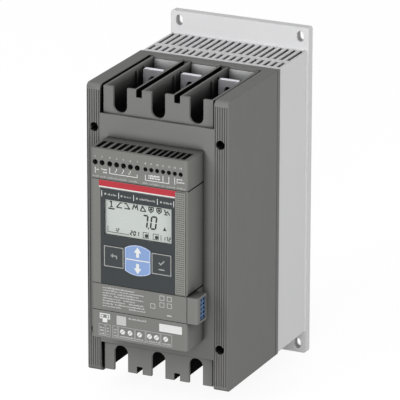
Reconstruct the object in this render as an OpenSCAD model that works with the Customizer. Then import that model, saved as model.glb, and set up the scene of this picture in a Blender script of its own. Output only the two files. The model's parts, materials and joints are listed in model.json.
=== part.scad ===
// Three-phase soft starter for panel mounting.
// Frame: the origin is the centre of the mounting plate's back face, +Z is up, the front faces -Y.
// "Depth" always means the distance in front of that back face.

/* [Phases] */
// Distance between neighbouring phases
phase_pitch = 35; // [32:0.5:45]
// Inner width of a terminal chamber
chamber_w = 26; // [22:0.5:27]
// Width of the barrier groove between two chambers
groove_w = 5.3; // [3:0.1:6]
// Wall of the terminal shrouds
shroud_wall = 2.75; // [2:0.25:4]
// Open gap between a shroud and the housing's pillars
pillar_gap = 1.65; // [1:0.05:5]

/* [Heat sink] */
// Height of the finned body and the housing
body_h = 255; // [230:1:320]
// Thickness of the mounting plate
plate_t = 8; // [5:0.5:12]
// How far the mounting plate stands out above and below the body
plate_overhang = 20; // [16:1:30]
// Corner radius of the mounting plate
plate_corner = 2; // [1:0.5:5]
// Width of a mounting slot
slot_w = 6.5; // [5:0.1:9]
// End-to-end length of a mounting slot
slot_l = 9.5; // [9:0.1:12]
// Distance of the slot centres from the plate's side edges
slot_side = 8; // [6:0.5:14]
// Distance of the slot centres from the plate's top and bottom edges
slot_end = 8.25; // [7:0.25:10]
// Depth of the finned body
fin_depth = 59; // [55:1:80]
// How far the finned body stands in from the housing's sides
sink_step = 1.5; // [0.5:0.25:4]
// Number of air gaps in one row
fin_gaps = 20; // [18:2:22]
// Width of an air gap
fin_gap = 3.2; // [2.8:0.1:4]
// Thickness of the wall behind the air gaps
fin_wall = 1.75; // [1:0.25:3]
// Thickness of the wall in front of the air gaps
front_wall = 4.75; // [2:0.25:6]
// Depth of the front row of air gaps
front_row = 15; // [10:0.5:20]
// Thickness of the web between the two rows
row_web = 5.4; // [3:0.2:8]
// Thickness of the base that carries the power modules
base_t = 9; // [7:0.5:14]

/* [Fans] */
// Height of a fan
fan_h = 20; // [16:1:30]
// Air gaps between a fan's screws
fan_span = 6; // [4:2:6]
// Edge of the fan frame outside its screws
fan_edge = 5; // [4:0.5:6]
// Wall of the fan frame at its thinnest
fan_wall = 1.9; // [1.5:0.1:3]
// Diameter of the fan's hub
hub_d = 19; // [16:0.5:24]
// Diameter of the fan's shaft
shaft_d = 3; // [2:0.25:4]
// Radial running clearance of the shaft
shaft_clear = 0.05; // [0.02:0.01:0.1]
// Number of blades
blade_count = 7; // [5:1:9]
// Thickness of a blade
blade_t = 1.2; // [0.8:0.1:2]
// How far a blade leans over its height
blade_lean = 10; // [6:0.5:12]
// Radius of a blade's bow
blade_bow = 16; // [12:0.5:30]
// Gap between the blade tips and the frame
tip_gap = 0.8; // [0.4:0.1:1.5]
// Diameter of a fan screw
fan_screw_d = 2.8; // [2:0.1:2.8]

/* [Housing] */
// Depth of the housing
cover_depth = 104; // [95:1:140]
// Width of the fluted pillars
pillar_w = 12.6; // [12:0.1:16]
// Wall of the housing
wall = 2.5; // [2:0.25:3]
// Radius along the top and bottom front edges
crown_r = 5; // [2:0.5:8]
// Radius along the upright front edges
edge_r = 0.9; // [0.5:0.1:2]
// Number of flutes on a pillar
flute_count = 6; // [4:1:6]
// Distance between flutes
flute_pitch = 2.1; // [1.4:0.05:2.1]
// Radius of a flute's round bottom
flute_r = 0.4; // [0.3:0.05:0.5]
// Depth of a flute's straight sides
flute_in = 0.6; // [0.2:0.1:1.2]
// Plain length above and below the flutes
flute_end = 4.8; // [2:0.2:10]
// Height of the openings for the terminal shrouds
opening_h = 24.5; // [24:0.5:34]
// Diameter of the screw recesses
recess_d = 8; // [7:0.25:9]
// Distance of the cover screws from the pillars' inner sides
recess_inset = 5.65; // [4.5:0.05:6]
// Distance of the cover screws above and below the middle
recess_z = 90; // [70:1:95]
// Thread diameter of the cover screws
cover_screw_d = 4; // [3:0.25:5]
// Wall left under the head of a cover screw
recess_floor = 4; // [3:0.5:8]
// Distance of the groove in the housing's sides from its back edge
side_groove_back = 5; // [4:0.5:12]
// Width of that groove
side_groove_w = 0.6; // [0.5:0.1:2]
// Depth of that groove
side_groove_in = 0.3; // [0.2:0.1:1]

/* [Terminals] */
// Width of a terminal bar
bar_w = 18.2; // [14:0.2:22]
// Thickness of a terminal bar
bar_t = 4; // [3:0.25:6]
// Diameter of the hole for the cable bolt
bolt_d = 8.5; // [6.5:0.1:10.5]
// Distance of a terminal bar's end from the housing's edge
bar_inset = 2.7; // [2:0.1:5]
// Distance of the bolt hole from the bar's end
bolt_end = 10.3; // [9:0.1:12]
// Width of the tool slots in the shrouds
tool_slot_w = 13; // [11:0.5:16]
// Depth of the upper shroud's tool slots
line_slot_h = 22.2; // [19:0.2:23]
// Depth of the lower shroud's tool slots
load_slot_h = 23; // [19:0.2:23]
// Depth of the notches between the tool slots
notch_h = 6.5; // [3:0.5:10]
// How far the shrouds lie behind the housing's front
shroud_back = 5; // [3.5:0.25:8]
// How far the shrouds' ends lie inside the housing's edge
shroud_inset = 1; // [0.5:0.25:2]
// Thickness of a shroud's floor
shroud_floor = 2.5; // [2:0.25:4]

/* [Power parts] */
// Width of a power module
power_w = 29; // [24:0.5:31]
// Height of a power module
power_h = 94; // [90:1:110]
// Depth of a power module
power_d = 26; // [24:0.5:34]
// Height of the fixing ears of a power module
power_ear = 13; // [11:0.5:16]
// Distance of the bar screws from the middle
bar_screw_z = 24; // [20:0.5:27]
// Thread diameter of the bar screws
bar_screw_d = 6; // [4:0.5:6]
// Thread diameter of the module screws
power_screw_d = 5; // [4:0.5:6]
// Width of a bypass relay
relay_w = 30; // [24:0.5:31]
// Height of a bypass relay
relay_h = 64; // [60:1:80]
// Width of a current transformer
sensor_w = 31; // [28:0.5:31.5]
// Depth of a current transformer
sensor_d = 28; // [20:0.5:32]
// Height of a current transformer
sensor_h = 18; // [12:0.5:24]

/* [Boards] */
// Thickness of the circuit boards
board_t = 1.6; // [1:0.1:2]
// Width of the firing board
firing_w = 98; // [80:1:120]
// Least room between the firing board and the housing's pillars
firing_room = 2; // [1:0.25:4]
// Height of the firing board
firing_h = 156; // [140:1:170]
// Length of the posts that carry the firing board
firing_post = 12; // [8:0.5:16]
// Diameter of the board posts
post_d = 7; // [6:0.25:8]
// Thread diameter of the board screws
board_screw_d = 3; // [2:0.25:3.5]
// Width of the plug between the two boards
link_w = 40; // [24:1:50]
// Thickness of the plug between the two boards
link_t = 6; // [4:0.5:8]

/* [Control unit] */
// Width of the control unit
control_w = 88.3; // [88:0.1:92]
// Sideways place of the control unit's middle
control_x = -0.85; // [-1.5:0.05:0]
// How far the control unit stands out of the housing
control_depth = 32.5; // [30:0.5:45]
// Height of the control unit's lower edge above the housing's lower edge
control_z = 44.6; // [42:0.2:50]
// Height of the lower case
lower_h = 25.1; // [20:0.5:30]
// Height of the link case
link_h = 23.6; // [22:0.2:27]
// Height of the operator panel's case
panel_h = 91.7; // [91:0.1:100]
// Height of the terminal hood
hood_h = 26; // [24:0.5:30]
// Gap between neighbouring cases
case_gap = 0.5; // [0.3:0.05:1]
// Wall of the control unit's cases
case_wall = 2; // [1.5:0.1:2.25]
// Radius along the upright front edges of the cases
case_r = 2.5; // [0.5:0.1:3]
// Height of the shadow lines in the panel case's sides
shadow_h = 0.9; // [0.5:0.1:1.5]
// Depth of the shadow lines
shadow_in = 0.8; // [0.4:0.1:1]

/* [Operator panel] */
// Sideways place of the panel's middle
panel_x = -1.75; // [-2.5:0.05:-1]
// Thickness of the printed films
film_t = 0.4; // [0.2:0.05:0.6]
// Width of the dark film
film_w = 68.7; // [66:0.1:72]
// Height of the red strip
strip_h = 6.2; // [4:0.1:8]
// Width of the red strip
strip_w = 71.3; // [68:0.1:74]
// Width of the display
display_w = 61.8; // [54:0.1:64]
// Height of the display
display_h = 30.9; // [24:0.1:32]
// Distance of the display's upper edge from the panel's upper edge
display_top = 16.9; // [16:0.1:20]
// Distance of the status lights from the panel's upper edge
light_top = 12.1; // [11:0.1:13]
// Diameter of a status light
light_d = 2.2; // [1.5:0.1:3]
// Width of the side keys
side_key_w = 18; // [14:0.1:18.2]
// Height of the side keys
side_key_h = 18.3; // [14:0.1:20]
// Distance of the side keys from the panel's middle
side_key_x = 22; // [21.8:0.05:23]
// Height of the keys' middle above the panel's lower edge
key_z = 24.9; // [22:0.1:26]
// Width of the arrow pad
pad_w = 23.4; // [20:0.1:24]
// Height of the arrow pad at its middle
pad_h = 26.6; // [24:0.1:30]
// Radius of the arrow pad's upper and lower edge
pad_r = 22; // [18:0.5:40]
// Gap between the two arrow keys
pad_split = 0.5; // [0.5:0.05:1.2]
// Travel of a key
key_travel = 0.6; // [0.3:0.05:0.8]
// How far a key stands out of the film
key_proud = 0.5; // [0.3:0.05:0.8]
// Gap round a key
key_gap = 0.3; // [0.2:0.05:0.4]

/* [Control terminals] */
// Pole distance of the relay terminals
relay_pitch = 6.3; // [6:0.05:6.4]
// Diameter of the relay terminals' screw holes
relay_hole_d = 4.6; // [3.5:0.1:5]
// Pole distance of the signal terminals
signal_pitch = 5.35; // [5:0.05:5.5]
// Diameter of the signal terminals' screw holes
signal_hole_d = 3.7; // [3:0.1:4]
// Distance of the screw holes below the hood's top
hole_drop = 12; // [10:0.25:14]
// Width of the wire slots
wire_slot_w = 4.3; // [3:0.1:4.4]
// Length of the wire slots
wire_slot_l = 17.5; // [14:0.5:20]
// Distance of the wire slots from the hood's front
wire_slot_front = 3.5; // [3:0.25:6]

/* [Link connector] */
// How far the link case's wing stands out sideways
wing_w = 9.6; // [8:0.2:12]
// Depth of the wing
wing_depth = 17.5; // [16:0.5:22]
// Wall of the wing in front of the plug
wing_front = 5.4; // [3:0.2:6]
// Wall of the wing round the rest of the plug
wing_wall = 1.9; // [1.5:0.1:2.5]
// Width of the line between the link case's front and its wing
wing_line_w = 0.6; // [0.4:0.1:1]
// Depth of that line
wing_line_in = 0.4; // [0.2:0.1:0.8]
// How far the plug lies behind the wing's face
plug_inset = 0.5; // [0.2:0.1:1]
// Number of poles of the plug
plug_poles = 5; // [3:1:6]
// Pole distance of the plug
plug_pitch = 3.81; // [3:0.01:3.85]

/* [Hidden] */
$fn = 48;

// Distance between parts that only lie against each other
seat = 0.3;
// How far a cutting shape reaches past the face it opens
over = 1;
// Clearance of a screw in its hole, on the diameter
screw_clear = 0.4;

// Sideways places
phases = [-phase_pitch, 0, phase_pitch];
groove_x = phase_pitch / 2;
shroud_half = phase_pitch + chamber_w / 2 + shroud_wall;
inner_half = max(shroud_half + pillar_gap, firing_w / 2 + firing_room);
body_w = 2 * (inner_half + pillar_w);
sink_w = body_w - 2 * sink_step;
fin_pitch = sink_w / fin_gaps;
recess_x = inner_half + recess_inset;

// Depths, counted from the back of the mounting plate
fin_front = plate_t + fin_depth;
base_front = fin_front + base_t;
cover_front = fin_front + cover_depth;
cover_inside = cover_front - wall;
bar_back = base_front + power_d;
bar_front = bar_back + bar_t;
shroud_front = cover_front - shroud_back;
firing_front = cover_inside - firing_post;
firing_back = firing_front - board_t;
control_front = cover_front + control_depth;
front_row_end = fin_front - front_wall;
front_row_start = front_row_end - front_row;
rear_row_end = front_row_start - row_web;
rear_row_start = plate_t + fin_wall;

// Heights, counted from the middle of the body
body_end = body_h / 2;
plate_h = body_h + 2 * plate_overhang;
opening_edge = body_end - opening_h;
shroud_end = body_end - shroud_inset;
shroud_sink = 2;
shroud_seat = opening_edge - shroud_floor - shroud_sink;
bar_end = body_end - bar_inset;
bolt_z = bar_end - bolt_end;
bar_root = bar_screw_z - bar_w / 2;
sensor_z = -(power_h / 2 + shroud_seat) / 2;

// Heights of the control unit's cases
lower_z0 = control_z - body_end;
lower_z1 = lower_z0 + lower_h - case_gap;
link_z0 = lower_z0 + lower_h;
link_z1 = link_z0 + link_h - case_gap;
panel_z0 = link_z0 + link_h;
panel_z1 = panel_z0 + panel_h - case_gap;
hood_z0 = panel_z0 + panel_h;
hood_z1 = hood_z0 + hood_h;
control_x0 = control_x - control_w / 2;
control_x1 = control_x + control_w / 2;

// Operator panel
film_back = control_front - film_t;
strip_rim = 0.4;
strip_gap = 0.8;
film_top = panel_z1 - strip_rim - strip_h - strip_gap;
panel_inside = film_back - case_wall;
display_z = panel_z1 - display_top - display_h / 2;
light_z = panel_z1 - light_top;
keys_z = panel_z0 + key_z;
board_room = 10;
control_board_back = panel_inside - board_room;
control_board_front = control_board_back + board_t;
light_xs = [-29.8, -14.9, -0.7, 21.3];
key_flange = 1.2;
key_flange_t = 1.5;
key_back = panel_inside - seat - key_flange_t;
mat_top = key_back - key_travel - seat;

// Control terminals: the relay poles stand in a pair and a row of five, the signal poles in one row.
// Each group's first pole is placed from the unit's middle.
relay_pair_x = -39.85;
relay_row_x = -26.45;
signal_row_x = 6.25;
relay_x = [
    for (i = [0:1]) control_x + relay_pair_x + i * relay_pitch,
    for (i = [0:4]) control_x + relay_row_x + i * relay_pitch
];
signal_x = [for (i = [0:6]) control_x + signal_row_x + i * signal_pitch];
hole_z = hood_z1 - hole_drop;
hood_inside = control_front - case_wall;
terminal_front = hood_inside - seat;
wire_slot_end = control_front - wire_slot_front;
screw_well = 8;
screw_head_front = terminal_front - screw_well;
clamp_reach = 11;

// Link connector
wing_x = control_x1 + wing_w;
wing_back = control_front - wing_depth;
pocket_x = control_x1 - case_wall;
pocket_d0 = wing_back + wing_wall;
pocket_d1 = control_front - wing_front;
pocket_z0 = link_z0 + wing_wall;
pocket_z1 = link_z1 - wing_wall;
socket_t = 3;
socket_pin = 1;
socket_pin_l = 3.5;
plug_x0 = pocket_x + socket_t;
plug_x1 = wing_x - plug_inset;
plug_d = (pocket_d0 + pocket_d1) / 2;
plug_z = (pocket_z0 + pocket_z1) / 2;
plug_entry_d = plug_d - 2.4;
plug_clamp_d = plug_d + 2.2;
plug_clamp_l = 3;
plug_screw_d = 2.2;

// Fans
fan_screw_span = fan_span * fin_pitch;
fan_size = fan_screw_span + 2 * fan_edge;
fan_mid = 1.5;
fan_x = (fan_span / 2 + fan_mid) * fin_pitch;
fan_d = (rear_row_start + front_row_end) / 2;
fan_z0 = over - body_end;
fan_z1 = fan_z0 + fan_h;
fan_bore = fan_size - 2 * fan_wall;
strut_t = 3;
bearing_wall = 2;
bearing_d = shaft_d + 2 * bearing_wall;
bearing_h = 0.6 * fan_h;

// Power modules: fixing ears, and how deep the bar screws reach
ear_t = 8;
bar_thread = 8;
thread_rest = 2;
module_screw_z = power_h / 2 - power_ear / 2;

// Screws and posts of the control board
panel_screw_d = 2;
panel_post_d = 4.5;

// Colours
light_grey = "#d3d3d5";
dark_grey = "#6f6f6d";
mid_grey = "#858583";
tin = "#c9c9cc";
board_green = "#2f5f45";
black = "#2b2b2c";
blue = "#3d6fae";

// Raises a plan profile, drawn in x and y, from one height to another
module upright(z0, z1) {
    translate([0, 0, z0]) linear_extrude(z1 - z0) children();
}

// Pushes a front-view profile, drawn in x and z, from one depth to another
module facing(d0, d1) {
    translate([0, -d0, 0]) rotate([90, 0, 0]) linear_extrude(d1 - d0) children();
}

// Pushes a side-view profile, drawn in depth and z, across from x0 to x1
module across(x0, x1) {
    translate([x1, 0, 0]) rotate([90, 0, -90]) linear_extrude(x1 - x0) children();
}

// A rectangle between two corners
module span(x0, x1, y0, y1) {
    translate([x0, y0]) square([x1 - x0, y1 - y0]);
}

// A rectangle about a point, with round corners where r is set
module panel(x, y, w, h, r = 0) {
    if (r > 0) {
        span(x - w / 2 + r, x + w / 2 - r, y - h / 2, y + h / 2);
        span(x - w / 2, x + w / 2, y - h / 2 + r, y + h / 2 - r);
        for (sx = [-1, 1], sy = [-1, 1])
            translate([x + sx * (w / 2 - r), y + sy * (h / 2 - r)]) circle(r);
    } else {
        span(x - w / 2, x + w / 2, y - h / 2, y + h / 2);
    }
}

// A profile from depth a to depth b with its two front corners rounded, drawn in depth and height
module nose(a, b, half, r) {
    span(a, b - r, -half, half);
    span(a, b, r - half, half - r);
    for (s = [-1, 1]) translate([b - r, s * (half - r)]) circle(r);
}

// A slot with round ends, upright, drawn about a point
module upright_slot(x, y, w, l) {
    span(x - w / 2, x + w / 2, y - (l - w) / 2, y + (l - w) / 2);
    for (s = [-1, 1]) translate([x, y + s * (l - w) / 2]) circle(d = w);
}

// A round hole or rod along the depth
module rod(x, z, d0, d1, dia) {
    translate([x, -d0, z]) rotate([90, 0, 0]) cylinder(d = dia, h = d1 - d0);
}

// A cheese-head screw driven from the front, its head on depth d, its thread reaching back
module screw(x, z, d, dia, reach) {
    head_d = 1.7 * dia;
    head_h = 0.65 * dia;
    drive_h = 0.25 * dia;
    drive_w = 0.22 * dia;
    difference() {
        union() {
            rod(x, z, d - reach, d + head_h / 2, dia);
            rod(x, z, d, d + head_h, head_d);
        }
        facing(d + head_h - drive_h, d + head_h + over) panel(x, z, head_d + over, drive_w);
    }
}

// Both ends of the body: the upper one as drawn, the lower one mirrored
module both_ends() {
    children();
    mirror([0, 0, 1]) children();
}

// Heat sink: one extrusion of plate, closed air gaps and base, with the fan bay milled into its lower end
module air_gaps(d0, d1) {
    for (i = [0:fin_gaps - 1]) {
        x = (i - (fin_gaps - 1) / 2) * fin_pitch;
        span(x - fin_gap / 2, x + fin_gap / 2, -d1, -d0);
    }
}

module heat_sink() color(light_grey) {
    slot_x = body_w / 2 - slot_side;
    slot_z = plate_h / 2 - slot_end;
    bay_w = 2 * fan_x + fan_size + 2 * seat;
    difference() {
        union() {
            facing(0, plate_t) panel(0, 0, body_w, plate_h, plate_corner);
            upright(-body_end, body_end) span(-sink_w / 2, sink_w / 2, -fin_front, -plate_t / 2);
            facing(fin_front - over, base_front)
                panel(0, 0, body_w - 2 * wall - 2 * seat, body_h - 2 * wall - 2 * seat);
        }
        upright(-body_end - over, body_end + over) {
            air_gaps(rear_row_start, rear_row_end);
            air_gaps(front_row_start, front_row_end);
        }
        upright(-body_end - over, fan_z1) panel(0, -fan_d, bay_w, fan_size + 2 * seat);
        facing(-over, plate_t + over)
            for (sx = [-1, 1], sz = [-1, 1]) upright_slot(sx * slot_x, sz * slot_z, slot_w, slot_l);
        for (sx = [-1, 1], sz = [-1, 1])
            rod(sx * recess_x, sz * recess_z, fin_front, base_front + over, cover_screw_d + screw_clear);
        for (x = phases, sz = [-1, 1])
            rod(x, sz * module_screw_z, fin_front, base_front + over, power_screw_d + screw_clear);
    }
}

// Housing: one moulding, open to the back, with hollow side pillars and openings for the two shrouds
module main_cover() color(dark_grey) {
    difference() {
        union() {
            cover_shell();
            both_ends() shroud_ledges();
            for (p = firing_posts) rod(p[0], p[1], firing_front, cover_inside + over, post_d);
        }
        for (sx = [-1, 1], sz = [-1, 1]) {
            rod(sx * recess_x, sz * recess_z, base_front + recess_floor, cover_front + over, recess_d);
            rod(sx * recess_x, sz * recess_z, base_front - over, cover_front, cover_screw_d + screw_clear);
        }
        for (p = firing_posts)
            rod(p[0], p[1], firing_front - over, cover_inside, board_screw_d + screw_clear);
        facing(cover_inside - over, cover_front + over)
            panel(panel_x, display_z, link_w + 2 * seat, link_t + 2 * seat);
        for (s = [-1, 1])
            facing(fin_front + side_groove_back, fin_front + side_groove_back + side_groove_w)
                panel(s * body_w / 2, 0, 2 * side_groove_in, body_h + 2 * over);
        for (s = [-1, 1], i = [0:flute_count - 1]) {
            x = s * (inner_half + pillar_w / 2 + (i - (flute_count - 1) / 2) * flute_pitch);
            upright(flute_end - body_end, body_end - flute_end) {
                translate([x, flute_in - cover_front]) circle(flute_r);
                span(x - flute_r, x + flute_r, -cover_front - over, flute_in - cover_front);
            }
        }
    }
}

module cover_shell() {
    difference() {
        intersection() {
            upright(-body_end, body_end) rotate(-90) nose(fin_front, cover_front, body_w / 2, edge_r);
            across(-body_w / 2, body_w / 2) nose(fin_front, cover_front, body_end, crown_r);
        }
        facing(fin_front - over, base_front) panel(0, 0, body_w - 2 * wall, body_h - 2 * wall);
        facing(base_front - over, cover_inside) {
            panel(0, 0, 2 * inner_half, body_h - 2 * wall);
            for (s = [-1, 1]) pillar_channel(s);
        }
        both_ends() facing(base_front, cover_front + over)
            span(-inner_half, inner_half, opening_edge, body_end + over);
    }
}

// Hollow of a side pillar, with a solid boss left round each cover screw
module pillar_channel(s) {
    middle = s * (inner_half + pillar_w / 2);
    boss_h = recess_d + 2 * wall;
    difference() {
        panel(middle, 0, pillar_w - 2 * wall, body_h - 2 * wall);
        for (sz = [-1, 1]) panel(middle, sz * recess_z, pillar_w, boss_h);
    }
}

// Ledges inside the pillars that carry a shroud's floor
module shroud_ledges() {
    upright(shroud_seat - wall, shroud_seat)
        for (s = [-1, 1])
            span(s * inner_half - (s > 0 ? wall : over), s * inner_half + (s > 0 ? over : wall),
                -cover_inside, -base_front - wall);
}

firing_posts = [for (sx = [-1, 1], sz = [-1, 1])
    [sx * (firing_w / 2 - post_d), sz * (firing_h / 2 - post_d)]];

module cover_screws() color(tin)
    for (sx = [-1, 1], sz = [-1, 1])
        screw(sx * recess_x, sz * recess_z, base_front + recess_floor, cover_screw_d,
            recess_floor + base_t - over);

// Terminal shrouds: three chambers with tool slots in front, a wall-free back and a floor on the ledges
module terminal_shroud(slot_h) {
    back = base_front + seat;
    slot_r = tool_slot_w / 2;
    slot_floor = shroud_end - slot_h + slot_r;
    front_back = shroud_front - shroud_wall;
    chamber_d = front_back - base_front;
    difference() {
        union() {
            upright(shroud_seat, shroud_seat + shroud_floor)
                span(-inner_half + seat, inner_half - seat, -cover_inside + seat, -back);
            upright(shroud_seat, shroud_end) difference() {
                span(-shroud_half, shroud_half, -shroud_front, -back);
                for (x = phases) panel(x, -base_front, chamber_w, 2 * chamber_d);
                for (s = [-1, 1]) panel(s * groove_x, -base_front, groove_w, 2 * chamber_d);
            }
            facing(front_back, shroud_front) span(-shroud_half, shroud_half, shroud_seat, shroud_end);
            upright(shroud_seat, shroud_end - bar_inset) for (x = phases, s = [-1, 1]) guide_ribs(x, s);
        }
        facing(front_back - over, shroud_front + over) {
            for (x = phases) {
                span(x - slot_r, x + slot_r, slot_floor, shroud_end + over);
                translate([x, slot_floor]) circle(slot_r);
            }
            for (s = [-1, 1]) panel(s * groove_x, shroud_end, groove_w, 2 * notch_h);
        }
        upright(shroud_seat - over, shroud_seat + shroud_floor + over)
            for (x = phases) panel(x, -(bar_back + bar_front) / 2, bar_w + 2 * seat, bar_t + 2 * seat);
    }
}

// Upright ribs on a chamber's wall, in front of and behind the terminal bar
module guide_ribs(x, s) {
    rib = 1.4;
    rib_room = 5;
    for (d = [bar_back - rib_room, bar_front + rib_room])
        panel(x + s * (chamber_w / 2), -d, 2 * rib, 2 * rib);
}

module line_terminal_shroud() color(dark_grey) terminal_shroud(line_slot_h);

module load_terminal_shroud() color(dark_grey) mirror([0, 0, 1]) terminal_shroud(load_slot_h);

// Terminal bars: flat bars from the power modules up or down into the chambers
module terminal_bar(x) {
    corner = 1.5;
    facing(bar_back, bar_front) difference() {
        panel(x, (bar_end + bar_root) / 2, bar_w, bar_end - bar_root, corner);
        translate([x, bolt_z]) circle(d = bolt_d);
        translate([x, bar_screw_z]) circle(d = bar_screw_d + screw_clear);
    }
}

module line_bar(i) color(tin) terminal_bar(phases[i]);

module load_bar(i) color(tin) mirror([0, 0, 1]) terminal_bar(phases[i]);

module bar_screws() color(tin)
    for (x = phases, sz = [-1, 1]) screw(x, sz * bar_screw_z, bar_front, bar_screw_d, bar_t + bar_thread);

// Power modules: a base with fixing ears, a moulded body and two contact pads
module power_module(i) color(black) {
    x = phases[i];
    pad_t = 3;
    pad_side = 0.5;
    pad_end = 2;
    pad_w = bar_w - 2 * pad_side;
    pad_h = bar_w - 2 * pad_end;
    ear_r = 2;
    body_r = 1;
    barrier_h = 8;
    barrier_in = 1.5;
    body_top = power_h / 2 - power_ear;
    difference() {
        union() {
            facing(base_front, base_front + ear_t) panel(x, 0, power_w, power_h, ear_r);
            facing(base_front, bar_back - pad_t) panel(x, 0, power_w, 2 * body_top, body_r);
            for (sz = [-1, 1])
                facing(bar_back - pad_t - over, bar_back)
                    panel(x, sz * bar_screw_z, pad_w, pad_h);
        }
        for (sz = [-1, 1]) {
            rod(x, sz * bar_screw_z, bar_back - bar_thread - thread_rest, bar_back + over,
                bar_screw_d + screw_clear);
            rod(x, sz * module_screw_z, base_front - over, base_front + ear_t + over,
                power_screw_d + screw_clear);
        }
        facing(bar_back - pad_t - barrier_in, bar_back) panel(x, 0, power_w + over, barrier_h);
    }
}

module module_screws() color(tin)
    for (x = phases, sz = [-1, 1])
        screw(x, sz * module_screw_z, base_front + ear_t, power_screw_d, ear_t + base_t - over);

// Bypass relays: sealed blocks on the firing board, their contact lugs on the terminal bars
module bypass_relay(i) color("#e0ddd2") {
    x = phases[i];
    stand = 7;
    lug_w = 12;
    lug_h = 6;
    lug_root = 5;
    lug_z = relay_h / 2 + 1;
    case_corner = 2;
    facing(bar_front + stand, firing_back) panel(x, 0, relay_w, relay_h, case_corner);
    for (sz = [-1, 1])
        facing(bar_front, bar_front + stand + over) panel(x, sz * lug_z, lug_w, lug_h);
    for (sz = [-1, 1])
        facing(bar_front + stand, bar_front + stand + lug_root) panel(x, sz * lug_z, lug_w, lug_h);
}

// Current transformers: moulded rings round the load bars
module current_sensor(i) color("#7c2f2c") {
    middle = (bar_back + bar_front) / 2;
    corner = 3;
    upright(sensor_z - sensor_h / 2, sensor_z + sensor_h / 2) difference() {
        panel(phases[i], -middle, sensor_w, sensor_d, corner);
        panel(phases[i], -middle, bar_w + 2 * seat, bar_t + 2 * seat);
    }
}

// Circuit boards, their screws and the plug between them
module firing_board() color(board_green)
    facing(firing_back, firing_front) difference() {
        panel(0, 0, firing_w, firing_h, board_corner);
        for (p = firing_posts) translate(p) circle(d = board_screw_d + screw_clear);
    }

board_corner = 1.5;
control_board_w = control_w - 2 * case_wall - 2 * over;
control_board_h = panel_z1 - panel_z0 - 2 * case_wall - 2 * over;
control_board_z = (panel_z0 + panel_z1) / 2;
control_posts = [for (sx = [-1, 1], sz = [-1, 1]) [
    control_x + sx * (control_board_w / 2 - panel_post_d / 2),
    control_board_z + sz * (control_board_h / 2 - panel_post_d / 2)
]];

module control_board() color(board_green)
    facing(control_board_back, control_board_front) difference() {
        panel(control_x, control_board_z, control_board_w, control_board_h, board_corner);
        for (p = control_posts) translate(p) circle(d = panel_screw_d + screw_clear);
    }

module board_screws() color(tin) {
    firing_grip = 6;
    panel_grip = 5;
    for (p = firing_posts) rear_screw(p, firing_back, board_screw_d, board_t + firing_grip);
    for (p = control_posts) rear_screw(p, control_board_back, panel_screw_d, board_t + panel_grip);
}

// A board screw driven from the back, its head behind depth d
module rear_screw(p, d, dia, reach) {
    head_d = 1.7 * dia;
    head_h = 0.6 * dia;
    rod(p[0], p[1], d - head_h, d, head_d);
    rod(p[0], p[1], d - head_h / 2, d + reach, dia);
}

module board_link() color(black)
    facing(firing_front, control_board_back) panel(panel_x, display_z, link_w, link_t);

// A case of the control unit: a shell with round front edges, open to the back
module case_shell(x0, x1, z0, z1) {
    middle = (x0 + x1) / 2;
    half = (x1 - x0) / 2;
    difference() {
        upright(z0, z1) translate([middle, 0]) rotate(-90) nose(cover_front, control_front, half, case_r);
        facing(cover_front - over, control_front - case_wall - film_t)
            span(x0 + case_wall, x1 - case_wall, z0 + case_wall, z1 - case_wall);
    }
}

// Hood over the control terminals: wire slots on top, screw holes in front
module terminal_hood() color(mid_grey)
    difference() {
        case_shell(control_x0, control_x1, hood_z0, hood_z1);
        facing(cover_front - over, hood_inside)
            span(control_x0 + case_wall, control_x1 - case_wall, hood_z0 + case_wall, hood_z1 - case_wall);
        for (x = relay_x) rod(x, hole_z, hood_inside - over, control_front + over, relay_hole_d);
        for (x = signal_x) rod(x, hole_z, hood_inside - over, control_front + over, signal_hole_d);
        upright(hood_z1 - case_wall - over, hood_z1 + over)
            for (x = concat(relay_x, signal_x))
                panel(x, wire_slot_l / 2 - wire_slot_end, wire_slot_w, wire_slot_l);
    }

// Case of the operator panel: recesses for the films, openings for display, lights and keys
module panel_case() color(mid_grey)
    difference() {
        union() {
            case_shell(control_x0, control_x1, panel_z0, panel_z1);
            for (p = control_posts) rod(p[0], p[1], control_board_front, panel_inside + over, panel_post_d);
        }
        facing(film_back, control_front + over) {
            film_outline();
            strip_outline();
        }
        facing(panel_inside - over, control_front + over) panel_openings(0);
        for (p = control_posts)
            rod(p[0], p[1], control_board_front - over, panel_inside, panel_screw_d + screw_clear);
        shadow_lines(panel_z0, panel_z1);
        facing(cover_front - over, cover_front + case_wall)
            panel(panel_x, display_z, link_w, link_t);
    }

// Shadow lines along a case's sides, at its lower and upper edge
module shadow_lines(z0, z1) {
    facing(cover_front - over, control_front - case_r)
        for (x = [control_x0, control_x1], z = [z0, z1]) panel(x, z, 2 * shadow_in, 2 * shadow_h);
}

module film_outline() {
    span(panel_x - film_w / 2, panel_x + film_w / 2, panel_z0, film_top);
}

module strip_outline() {
    panel(panel_x, panel_z1 - strip_rim - strip_h / 2, strip_w, strip_h);
}

module panel_openings(grow) {
    panel(panel_x, display_z, display_w + 2 * grow, display_h + 2 * grow);
    for (x = light_xs) translate([panel_x + x, light_z]) circle(d = light_d + 2 * grow);
    for (s = [-1, 1]) side_key_outline(s, key_gap);
    pad_outline(key_gap);
}

module side_key_outline(s, grow) {
    panel(panel_x + s * side_key_x, keys_z, side_key_w + 2 * grow, side_key_h + 2 * grow);
}

// Outline of the arrow pad: straight sides, its upper and lower edge on wide arcs
module pad_outline(grow) {
    intersection() {
        panel(panel_x, keys_z, pad_w + 2 * grow, pad_h + 2 * grow);
        translate([panel_x, keys_z + pad_h / 2 - pad_r]) circle(pad_r + grow, $fn = 128);
        translate([panel_x, keys_z - pad_h / 2 + pad_r]) circle(pad_r + grow, $fn = 128);
    }
}

module panel_film() color("#45484a")
    facing(film_back, control_front) difference() {
        film_outline();
        panel_openings(0);
    }

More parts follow.
